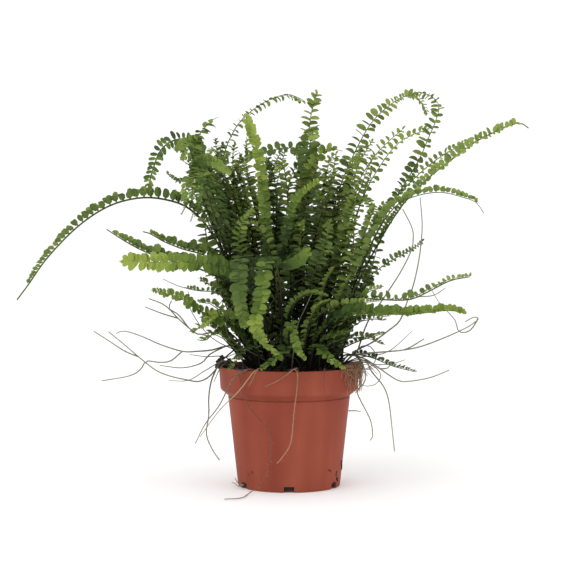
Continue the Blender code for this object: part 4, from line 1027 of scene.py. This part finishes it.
def makePot():
    form = potForm
    outline = potOutline()
    dropSelection()
    bpy.ops.mesh.primitive_circle_add(vertices=form["around"], radius=outline[0][0], location=(0, 0, 0))
    pot = newest("potShell")
    bpy.ops.object.mode_set(mode="EDIT")
    bpy.ops.mesh.select_all(action="SELECT")
    pullThrough(outline)
    bpy.ops.mesh.select_all(action="DESELECT")
    bpy.ops.object.mode_set(mode="OBJECT")
    for edge in pot.data.edges:
        edge.select = all(pot.data.vertices[i].co.z < 0.00001 for i in edge.vertices)
    bpy.ops.object.mode_set(mode="EDIT")
    bpy.ops.mesh.select_mode(type="EDGE")
    bpy.ops.mesh.fill()
    faceOut()
    for number in range(form["drains"]):
        angle = math.radians(-90.0) + number * math.tau / form["drains"]
        dropSelection()
        bpy.ops.mesh.primitive_cube_add(size=1.0)
        cutter = bpy.context.active_object
        size = (form["drainDepth"], form["drainWidth"], 2 * form["drainHeight"], 1.0)
        cutter.data.transform(Matrix.Rotation(angle, 4, "Z") @ Matrix.Translation((form["base"], 0.0, 0.0))
                              @ Matrix.Diagonal(size))
        cut = pot.modifiers.new("Drain", "BOOLEAN")
        cut.operation = "DIFFERENCE"
        cut.object = cutter
        applyAll(pot)
        putAway(cutter)
    smoothByAngle(pot, form["smooth"])
    return pot


potLook = {
    "tones": ((0.36, (0.238, 0.054, 0.035)), (0.50, (0.272, 0.066, 0.040)), (0.64, (0.305, 0.080, 0.048))),
    # the upright streaks are partly the plastic's own colour and partly painted sheen
    "cloud": 18.0, "cloudShare": 0.4, "strip": 48.0, "stripShare": 0.6, "upright": (1.0, 1.0, 0.03),
    "dirt": (0.050, 0.018, 0.010), "speck": 110.0, "speckRange": (0.66, 0.74),
    "speckHeight": (0.006, 0.024, 0.6, 0.0), "roughness": (0.35, 0.65, 0.40, 0.54), "gloss": 0.03,
    "fine": 900.0, "bump": (0.12, 0.0001),
}


def potFinish():
    look = potLook
    graph = Graph("terracottaPlastic")
    place = graph.place()
    cloud = graph.noise(place, look["cloud"], detail=2.0)
    # upright streaks: partly the plastic's own streaks, partly painted sheen of the lights
    upright = graph.add("Mapping", "Vector", {"Scale": look["upright"], "Vector": place})
    strip = graph.noise(upright, look["strip"], detail=1.5)
    tone = graph.plus(graph.times(cloud, look["cloudShare"]), graph.times(strip, look["stripShare"]))
    specks = graph.span(graph.noise(place, look["speck"], detail=2.0), *look["speckRange"])
    low = graph.span(graph.split(place)["Z"], *look["speckHeight"])
    colour = graph.mix(graph.times(specks, low), graph.ramp(tone, look["tones"]), look["dirt"])
    graph.shade({"Base Color": colour, "Specular IOR Level": look["gloss"],
                 "Roughness": graph.span(strip, *look["roughness"])})
    graph.bump(graph.noise(place, look["fine"], detail=2.0), *look["bump"])
    return graph.material


# soil: the mound, then loose crumbs and pale grains on it

# each finish: its two colours and how far their stops lie from the middle
soilLook = {
    "pottingMix": ((0.008, 0.006, 0.005), (0.035, 0.024, 0.016), 0.2),
    "paleGrain": ((0.2, 0.19, 0.17), (0.420, 0.400, 0.360), 0.3),
    "coarse": 260.0, "detail": 4.0, "rough": 0.7, "roughness": 0.95, "bump": (0.9, 0.0008),
}

# stuck: degrees around, height, size and how far the pieces spread
soilParts = {
    "cells": 96, "lump": 0.0016, "lumpScale": 90.0, "fine": 0.0008, "fineScale": 300.0, "smooth": 60,
    "rough": 0.55, "roughScale": 3.1, "within": 0.98, "sunk": 0.25,
    "crumbs": 420, "crumbSize": (0.0008, 0.0026), "grains": 26, "grainSize": (0.0006, 0.0013), "grainFrom": 0.5,
    "clump": (-0.0535, -0.010, 0.1020), "clumpPieces": 16, "clumpSpread": (0.0030, 0.0048, 0.0030),
    "clumpSize": 0.0062, "clumpShares": (0.55, 1.05),
    "stuckPieces": 5, "stuckAngle": 1.2, "stuckOut": 0.1, "stuckFlat": 0.5, "bodyTop": 0.0766,
    "stuck": ((-13.0, 0.0215, 0.0022, 0.006), (-11.0, 0.0165, 0.0020, 0.005), (-28.0, 0.0125, 0.0015, 0.004),
              (-25.0, 0.0075, 0.0019, 0.004), (-31.0, 0.0045, 0.0018, 0.003), (-41.0, 0.0165, 0.0012, 0.002),
              (-148.0, 0.0040, 0.0016, 0.003), (-133.0, 0.0150, 0.0008, 0.003)),
}


def makeSoil():
    parts = soilParts
    dropSelection()
    bpy.ops.mesh.primitive_grid_add(x_subdivisions=parts["cells"], y_subdivisions=parts["cells"], size=2.0)
    soil = newest("soilMound")
    edge = soilForm["edge"]
    for vertex in soil.data.vertices:
        u, v = onDisc(vertex.co.x, vertex.co.y)
        x, y = edge * u, edge * v
        place = Vector((x, y, 0.0))
        lumps = noise.fractal(place * parts["lumpScale"], 1.0, 2.0, 3) * parts["lump"]
        fine = noise.noise(place * parts["fineScale"]) * parts["fine"]
        vertex.co = (x, y, soilHeight(x, y) + lumps + fine)
    bpy.ops.object.mode_set(mode="EDIT")
    bpy.ops.mesh.select_mode(type="EDGE")
    bpy.ops.mesh.select_all(action="SELECT")
    bpy.ops.mesh.region_to_loop()
    pullThrough(((edge, soilHeight(edge, 0.0)), *soilForm["wall"]))
    faceOut()
    smoothByAngle(soil, parts["smooth"])
    return soil


def crumbPattern(name, faces):
    # a rough little stone, one unit across
    dropSelection()
    bpy.ops.mesh.primitive_ico_sphere_add(subdivisions=faces, radius=0.5)
    crumb = newest(name)
    for vertex in crumb.data.vertices:
        place = vertex.co * soilParts["roughScale"] + Vector((faces, 2.0, 5.0))
        vertex.co *= 1.0 + soilParts["rough"] * noise.noise(place)
    return crumb


def tumbled(chance, pattern, place, size):
    # a copy turned at random
    axis = (chance.gauss(0, 1), chance.gauss(0, 1), chance.gauss(0, 1))
    spin = Quaternion(axis, chance.uniform(0, 6)).to_matrix().to_4x4()
    return copyOf(pattern, Matrix.Translation(place) @ spin @ Matrix.Scale(size, 4))


def scatterCrumbs(name, count, sizes, chance, pattern, inner=0.0):
    # crumbs on the mound, each sunk a little
    crumbs = []
    for number in range(count):
        angle = chance.uniform(0.0, math.tau)
        radius = soilForm["edge"] * soilParts["within"] * math.sqrt(chance.uniform(inner, 1.0))
        size = chance.uniform(*sizes)
        x, y = radius * math.cos(angle), radius * math.sin(angle)
        place = Vector((x, y, soilHeight(x, y) + size * soilParts["sunk"]))
        crumbs.append(tumbled(chance, pattern, place, size))
    return joinPieces(name, crumbs)


def soilClump(chance, pattern):
    # lumps of soil heaped on the left of the rim
    parts = soilParts
    lumps = []
    for number in range(parts["clumpPieces"]):
        x, y, z = (chance.gauss(0.0, spread) for spread in parts["clumpSpread"])
        size = parts["clumpSize"] * chance.uniform(*parts["clumpShares"])
        lumps.append(tumbled(chance, pattern, Vector(parts["clump"]) + Vector((x, y, abs(z))), size))
    return joinPieces("soilClump", lumps)


def soilOnPot(chance, pattern):
    # crumbs and a streak of soil that stick to the lower wall
    parts = soilParts
    crumbs = []
    for around, height, size, spread in parts["stuck"]:
        for number in range(parts["stuckPieces"]):
            angle = math.radians(around + chance.gauss(0.0, parts["stuckAngle"]))
            z = height + chance.uniform(-0.5, 0.5) * spread
            radius = potForm["base"] + (potForm["neck"] - potForm["base"]) * z / parts["bodyTop"]
            place = Matrix.Translation((radius + size * parts["stuckOut"], 0.0, z))
            spin = Matrix.Rotation(chance.uniform(0.0, 6.0), 4, "X")
            flat = Matrix.Diagonal((size * parts["stuckFlat"], size, size, 1.0))
            crumbs.append(copyOf(pattern, Matrix.Rotation(angle, 4, "Z") @ place @ spin @ flat))
    return joinPieces("soilOnPot", crumbs)


def soilFinish(name):
    look = soilLook
    dark, light, spread = look[name]
    graph = Graph(name)
    coarse = graph.noise(graph.place(), look["coarse"], look["detail"], look["rough"])
    colour = graph.ramp(coarse, ((0.5 - spread, dark), (0.5 + spread, light)))
    graph.shade({"Base Color": colour, "Roughness": look["roughness"]})
    graph.bump(coarse, *look["bump"])
    return graph.material


# runners: foot of the first stem, then the strands' routes (mm), each after the first starting on one
# before it; slimStrands and ownStrands: share of the radius, and tint, of a runner's strand by its number
Runner = namedtuple("Runner", "name tint foot strands")
slimStrands = {("front", 0): 0.7, ("front", 1): 0.8, ("front", 2): 0.75}
ownStrands = {("front", 1): "brown", ("front", 2): "pale", ("front", 3): "grey"}
runners = [Runner(*row) for row in (
    ("right_tall", "grey", (46, 8), (
        ((54, 8, 110), (59, 8, 115), (71, 8, 121), (85, 10, 131), (95, 10, 140), (102, 12, 158),
         (107, 12, 172), (112, 14, 196), (114, 14, 221), (112, 12, 245)),
        ((59, 8, 115), (67, 2, 139), (80, -2, 159), (94, -4, 181), (103, -4, 199), (105, -4, 209),
         (104, -4, 219), (96, -4, 235)))),
    ("right", "grey", (42, -24), (
        ((48, -27, 112), (55, -29, 113), (64, -32, 115), (75, -34, 116), (95, -36, 118), (112, -38, 122),
         (137, -38, 132), (151, -36, 139), (157, -34, 144), (153, -32, 145), (146, -32, 141)),
        ((95, -36, 118), (101, -40, 121), (111, -46, 128)),
        ((55, -29, 113), (64, -36, 110), (75, -42, 103), (89, -46, 94), (98, -47, 93), (116, -46, 96),
         (132, -44, 102)),
        ((64, -36, 110), (68, -42, 101), (77, -46, 90), (81, -47, 81), (83, -47, 71), (84, -47, 62),
         (87, -46, 35)),
        ((55, -29, 113), (60, -38, 108), (63, -44, 100), (62, -46, 92), (56, -47, 85), (59, -47, 77),
         (67, -46, 61), (69, -46, 48), (67, -46, 44)),
        ((75, -42, 103), (81, -39, 103), (84, -38, 106), (85, -38, 109)))),
    ("left", "grey", (-38, -8), (
        ((-44, -8, 118), (-54, -9, 119), (-65, -10, 116), (-77, -11, 115), (-90, -12, 115),
         (-109, -12, 121), (-125, -12, 128), (-139, -10, 132), (-146, -10, 130)),
        ((-90, -12, 115), (-100, -14, 107), (-110, -15, 106), (-120, -16, 107), (-125, -18, 100),
         (-134, -20, 95), (-157, -22, 91)),
        ((-54, -9, 119), (-67, -5, 112), (-75, -2, 104), (-91, 0, 100), (-110, 0, 102)),
        ((-44, -8, 118), (-56, -16, 108), (-61, -22, 101), (-68, -26, 94), (-76, -28, 91), (-87, -30, 93),
         (-99, -32, 96), (-111, -32, 101), (-125, -32, 112), (-139, -32, 124), (-150, -32, 133)),
        ((-125, -32, 112), (-136, -36, 117), (-149, -40, 126), (-161, -42, 134)),
        ((-61, -22, 101), (-65, -26, 91), (-67, -28, 78), (-67, -28, 63), (-69, -28, 47), (-64, -28, 34),
         (-58, -28, 25)))),
    ("left_upper", "grey", (-36, 16), (
        ((-42, 14, 118), (-49, 17, 127), (-65, 20, 129), (-78, 22, 127), (-87, 22, 133), (-96, 22, 141),
         (-107, 22, 152), (-121, 22, 158)),
        ((-96, 22, 141), (-109, 20, 145), (-124, 18, 151)),
        ((-87, 22, 133), (-96, 26, 144), (-104, 28, 149), (-102, 30, 156)),
        ((-65, 20, 129), (-72, 18, 122), (-79, 16, 123)))),
    ("front", "tan", (-2, -52), (
        ((-1, -54.5, 101), (3, -57.2, 104), (6.5, -61.2, 102.6), (6.8, -61.6, 92), (4, -59.6, 68),
         (1.5, -57, 44), (-5, -54, 32), (-10, -53, 26)),
        ((-1, -54.5, 101), (-8, -53, 100.2), (-16, -51, 99.8), (-24, -48.8, 100.2), (-29, -50, 102.8),
         (-34, -50.6, 103.2), (-40, -47.8, 101.6), (-41, -47.6, 97), (-34, -50, 74), (-17, -53, 53),
         (-15, -52, 33), (-22, -49, 10), (-33, -52, 1.2), (-39, -75, 1.2), (-52, -80, 1.2)),
        ((-24, -48.8, 100.2), (-26, -53, 103.2), (-29, -55.8, 101.6), (-34, -57.4, 95), (-42, -58.6, 85),
         (-57, -57, 70), (-73, -55, 48)),
        ((-34, -50.6, 103.2), (-45, -49, 97), (-57, -50, 74), (-69, -50, 58), (-77, -50, 42)))),
    ("back", "grey", (14, 52), (
        ((18, 58, 108), (23, 66, 105), (28, 72, 92), (30, 76, 70), (26, 80, 52)),
        ((23, 66, 105), (36, 78, 108), (56, 92, 104), (78, 104, 92)),
        ((18, 58, 108), (2, 62, 106), (-16, 64, 105), (-26, 76, 108), (-44, 96, 106), (-66, 112, 96)),
        ((-16, 64, 105), (-22, 70, 94), (-26, 72, 72), (-34, 74, 48)))),
)]

runnerForm = {
    "radius": 0.00085, "sideShare": 0.8, "tipShare": 0.5, "pitch": 0.004, "smooth": 60,
    "hairStart": 0.012, "hairGap": 0.0035, "hairGaps": (0.5, 1.5), "hairLength": (0.0008, 0.0032),
    "hairLean": (-0.2, 0.9), "hairRadius": 0.00011, "hairTip": 0.00004, "hairFloor": 0.0005,
    "hairCrown": 0.075, "crownShare": 0.5, "outerShare": 2.5,
}


def alongRoute(points, pitch, thick, thin):
    # even places on a smooth route, with radii from thick to thin
    dense = smoothRoute(points)
    marks = routeMarks(dense)
    count = max(4, round(marks[-1] / pitch))
    places = [atDistance(dense, marks, marks[-1] * i / count)[0] for i in range(count + 1)]
    return places, [thick + (thin - thick) * i / count for i in range(count + 1)], dense, marks


def strandHairs(dense, marks, chance):
    # short hairs along a strand, closer together near the crown
    form = runnerForm
    hairs = []
    distance = form["hairStart"]
    while distance < marks[-1]:
        place, direction = atDistance(dense, marks, distance)
        away = direction.orthogonal().normalized()
        away.rotate(Quaternion(direction, chance.uniform(0.0, math.tau)))
        length = chance.uniform(*form["hairLength"])
        end = place + (away + direction * chance.uniform(*form["hairLean"])).normalized() * length
        if end.z > form["hairFloor"]:
            hairs.append(([place, end], [form["hairRadius"], form["hairTip"]]))
        share = form["crownShare"] if place.xy.length < form["hairCrown"] else form["outerShare"]
        distance += form["hairGap"] * chance.uniform(*form["hairGaps"]) * share
    return hairs


def makeRunner(row, chance, barks):
    form = runnerForm
    name = "wiry_" + row.name
    tubes, hairs = [], []
    for number, route in enumerate(row.strands):
        points = scaledPoints(route)
        if number == 0:
            points = rootedPoints(row.foot, route)
            points.insert(0, belowSoil(points[0]))
        full = form["radius"] * slimStrands.get((row.name, number), 1.0)
        thick = full * (1.0 if number == 0 else form["sideShare"])
        places, radii, dense, marks = alongRoute(points, form["pitch"], thick, full * form["tipShare"])
        tubes.append(roundTubes(name, [(places, radii)]))
        giveFinish(tubes[-1], barks[ownStrands.get((row.name, number), row.tint)])
        hairs += strandHairs(dense, marks, chance)
    tubes.append(roundTubes("hairs", hairs, 0))
    giveFinish(tubes[-1], barks[row.tint])
    piece = joinPieces(name, tubes)
    smoothByAngle(piece, form["smooth"])
    return piece


# wiry things that no solid stands for: the tangle on the rim, loose strands (mm) and bare old stems

# stations: radius and height pairs of a root that comes out of the soil and over the rim;
# free: the last two of a root that sticks out
tangleForm = {
    "count": 76, "from": -38.0, "to": -2.0, "sway": 12.0, "shift": 0.06,
    "stations": ((0.046, 0.1025), (0.0545, 0.1035), (0.0598, 0.1040), (0.0602, 0.1010)),
    "drop": (0.003, 0.022),
    "freeEvery": 8, "free": ((0.067, 0.0995), (0.074, 0.0960)), "freeRise": (-0.008, 0.010),
    "curl": 0.0024, "curlOut": 0.8, "curlUp": 0.5,
    "radius": (0.00018, 0.00042), "tipShare": 0.6, "pitch": 0.0025,
}


def makeTangle(chance):
    form = tangleForm
    strands = []
    for number in range(form["count"]):
        start = math.radians(chance.uniform(form["from"], form["to"]))
        end = start + math.radians(chance.uniform(-form["sway"], form["sway"]))
        drop = chance.uniform(*form["drop"])
        outer, edge = form["stations"][-1]
        ends = ((outer, edge - 0.5 * drop), (outer, edge - drop))
        if number % form["freeEvery"] == 0:
            near, (radius, height) = form["free"]
            ends = (near, (radius, height + chance.uniform(*form["freeRise"])))
        stations = form["stations"] + ends
        points = []
        for step, (radius, height) in enumerate(stations):
            angle = start + (end - start) * step / (len(stations) - 1) + chance.gauss(0.0, form["shift"])
            lift = abs(chance.gauss(0.0, form["curl"]))
            radius += lift * form["curlOut"]
            height += lift * form["curlUp"]
            points.append(Vector((radius * math.cos(angle), radius * math.sin(angle), height)))
        thick = chance.uniform(*form["radius"])
        strands.append(alongRoute(points, form["pitch"], thick, thick * form["tipShare"])[:2])
    return roundTubes("rootTangle", strands)


looseForm = {"pitch": 0.004, "thick": 0.0006, "thin": 0.0003}
looseStrands = {
    "grey": (
        ((44, -20, 104), (52, -24, 112), (62, -26, 121), (70, -26, 118), (72, -26, 108), (64, -24, 101),
         (56, -22, 103)),
        ((46, -26, 104), (56, -32, 108), (68, -36, 106), (76, -38, 98), (72, -38, 90), (62, -34, 88),
         (56, -34, 94)),
        ((44, -14, 104), (58, -16, 110), (72, -18, 112), (84, -20, 116), (96, -22, 126), (103, -22, 133)),
        ((45, -10, 104), (60, -10, 108), (72, -10, 104), (86, -10, 104), (98, -12, 108)),
        ((157, -34, 144), (150, -34, 134), (141, -34, 133), (138, -34, 142), (133, -34, 148),
         (124, -34, 158), (118, -34, 168)),
        ((104, -54, 163), (118, -52, 164), (128, -50, 170)),
        ((-42, -14, 103), (-52, -18, 106), (-58, -20, 101), (-63, -22, 90)),
        ((-44, -4, 103), (-56, -4, 110), (-70, -6, 110), (-84, -8, 112)),
        ((-40, -18, 103), (-54, -22, 108), (-70, -26, 100), (-84, -28, 92), (-100, -30, 92)),
        ((50, -24, 66), (56, -28, 66.5), (60, -30, 66)),
        ((2, -46, 100), (4, -54, 122), (7, -60, 140), (14, -62, 156), (20, -62, 169)),
        ((-37, -22, 4), (-41, -23, 3.5), (-44, -24, 7), (-45.5, -24, 10)),
        ((-37, -22, 4), (-42, -23, 2), (-46, -24, 5.5), (-48, -24, 6))),
    "tan": (
        ((-20, -50, 100), (-24, -56, 105), (-27, -59, 102), (-30, -59, 95), (-33, -58, 90)),
        ((8, -50, 100), (6, -57, 105), (1, -61, 102), (-9, -61.5, 95), (-20, -61, 90))),
    "brown": (
        ((28, -48, 99), (29, -54, 104), (29, -56.5, 101), (29, -56.5, 92), (29.5, -55.5, 84)),),
}


def makeLoose(tint, routes):
    form = looseForm
    return roundTubes("loose_" + tint, [
        alongRoute(scaledPoints(route), form["pitch"], form["thick"], form["thin"])[:2] for route in routes])


stemForm = {
    "count": 12, "radius": 0.0005, "tipShare": 0.5, "pitch": 0.005, "height": (0.045, 0.110), "lean": 0.027,
    "bow": 0.016, "feet": 0.043, "sunk": 0.003, "straight": 0.010, "stations": (0.35, 0.7, 1.0), "upPower": 0.9,
}


def makeOldStems(chance):
    # bare stems of spent fronds, crossing inside the plant
    form = stemForm
    strands = []
    for number in range(form["count"]):
        around = chance.uniform(0.0, math.tau)
        radius = form["feet"] * math.sqrt(chance.random())
        foot = Vector((radius * math.cos(around), radius * math.sin(around), 0.0))
        foot.z = soilHeight(foot.x, foot.y) - form["sunk"]
        lean = Vector((chance.gauss(0, 1), chance.gauss(0, 1), 0.0)) * form["lean"]
        bow = Vector((chance.gauss(0, 1), chance.gauss(0, 1), 0.0)) * form["bow"]
        rise = chance.uniform(*form["height"])
        points = [foot, foot + Vector((0.0, 0.0, form["straight"]))]
        for t in form["stations"]:
            points.append(foot + lean * t + bow * math.sin(math.pi * t)
                          + Vector((0.0, 0.0, rise * t ** form["upPower"])))
        strands.append(alongRoute(points, form["pitch"], form["radius"], form["radius"] * form["tipShare"])[:2])
    return roundTubes("oldStems", strands)


# stage: floor, light and the camera

view = {
    "place": (0.0008, -1.393, 0.224), "pitch": 2.373, "lens": 101.9, "sensor": 36.0,
    "floor": 60.0, "paint": (0.97, 0.97, 0.97), "dull": 0.9, "gloss": 0.1,
    "world": 1.1, "white": (1.0, 1.0, 1.0, 1.0), "aim": (0.0, 0.0, 0.15),
    "lights": (("keyLight", (-0.9, -1.3, 1.5), 10.0, 1.4), ("fillLight", (1.4, -1.0, 0.8), 3.0, 1.2)),
}


def softLight(name, place, power, size):
    light = bpy.data.lights.new(name, "AREA")
    light.energy = power
    light.size = size
    lamp = bpy.data.objects.new(name, light)
    lamp.location = place
    lamp.rotation_mode = "QUATERNION"
    lamp.rotation_quaternion = (Vector(view["aim"]) - Vector(place)).to_track_quat("-Z", "Y")
    bpy.context.scene.collection.objects.link(lamp)


def makeStage():
    dropSelection()
    bpy.ops.mesh.primitive_plane_add(size=view["floor"])
    floor = newest("floor")
    paint = Graph("floorPaint")
    paint.shade({"Base Color": view["paint"], "Roughness": view["dull"], "Specular IOR Level": view["gloss"]})
    giveFinish(floor, paint.material)
    world = bpy.data.worlds.new("studio")
    world.use_nodes = True
    backdrop = world.node_tree.nodes["Background"]
    backdrop.inputs["Color"].default_value = view["white"]
    backdrop.inputs["Strength"].default_value = view["world"]
    bpy.context.scene.world = world
    for light in view["lights"]:
        softLight(*light)
    lens = bpy.data.cameras.new("camera")
    lens.lens = view["lens"]
    lens.sensor_width = view["sensor"]
    camera = bpy.data.objects.new("camera", lens)
    camera.location = view["place"]
    camera.rotation_euler = (math.radians(90.0 - view["pitch"]), 0.0, 0.0)
    bpy.context.scene.collection.objects.link(camera)
    bpy.context.scene.camera = camera
    bpy.context.scene.view_settings.view_transform = "Standard"


makeStage()
finishes = {tint: leafFinish("leaf_" + tint, leafTints[tint]) for tint in leafTints}
finishes["rib"] = ribFinish()
patterns = leafletPatterns()
makeFronds(patterns, finishes)
makeInnerFronds(patterns, finishes)
putAway(*[leaf for hand in patterns.values() for leaf in hand])

potShell = makePot()
giveFinish(potShell, potFinish())
keep(potShell, "pot", "pot")
print("pot: done")

pottingMix, paleGrain = soilFinish("pottingMix"), soilFinish("paleGrain")
soilMound = makeSoil()
giveFinish(soilMound, pottingMix)
keep(soilMound, "soil", "soil")
crumb, lump = crumbPattern("crumb", 1), crumbPattern("lump", 2)
chance = random.Random(seeds["soil"])
for piece, finish in (
        (scatterCrumbs("soilCrumbs", soilParts["crumbs"], soilParts["crumbSize"], chance, crumb), pottingMix),
        (scatterCrumbs("paleGrains", soilParts["grains"], soilParts["grainSize"], chance, crumb,
                       soilParts["grainFrom"]), paleGrain),
        (soilOnPot(chance, crumb), pottingMix),
        (soilClump(chance, lump), pottingMix)):
    giveFinish(piece, finish)
    keep(piece, "soil")
putAway(crumb, lump)
print("soil: done")

barks = {tint: runnerFinish("bark_" + tint, runnerTints[tint]) for tint in runnerTints}
for number, row in enumerate(runners):
    keep(makeRunner(row, random.Random(seeds["runner"] + number), barks), "runner", "runners_" + row.name)
wiry = [(makeTangle(random.Random(seeds["tangle"])), "root")]
wiry += [(makeLoose(tint, routes), tint) for tint, routes in looseStrands.items()]
wiry.append((makeOldStems(random.Random(seeds["stems"])), "stem"))
for piece, tint in wiry:
    giveFinish(piece, barks[tint])
    keep(piece, "runner")
print("runners:", len(runners))
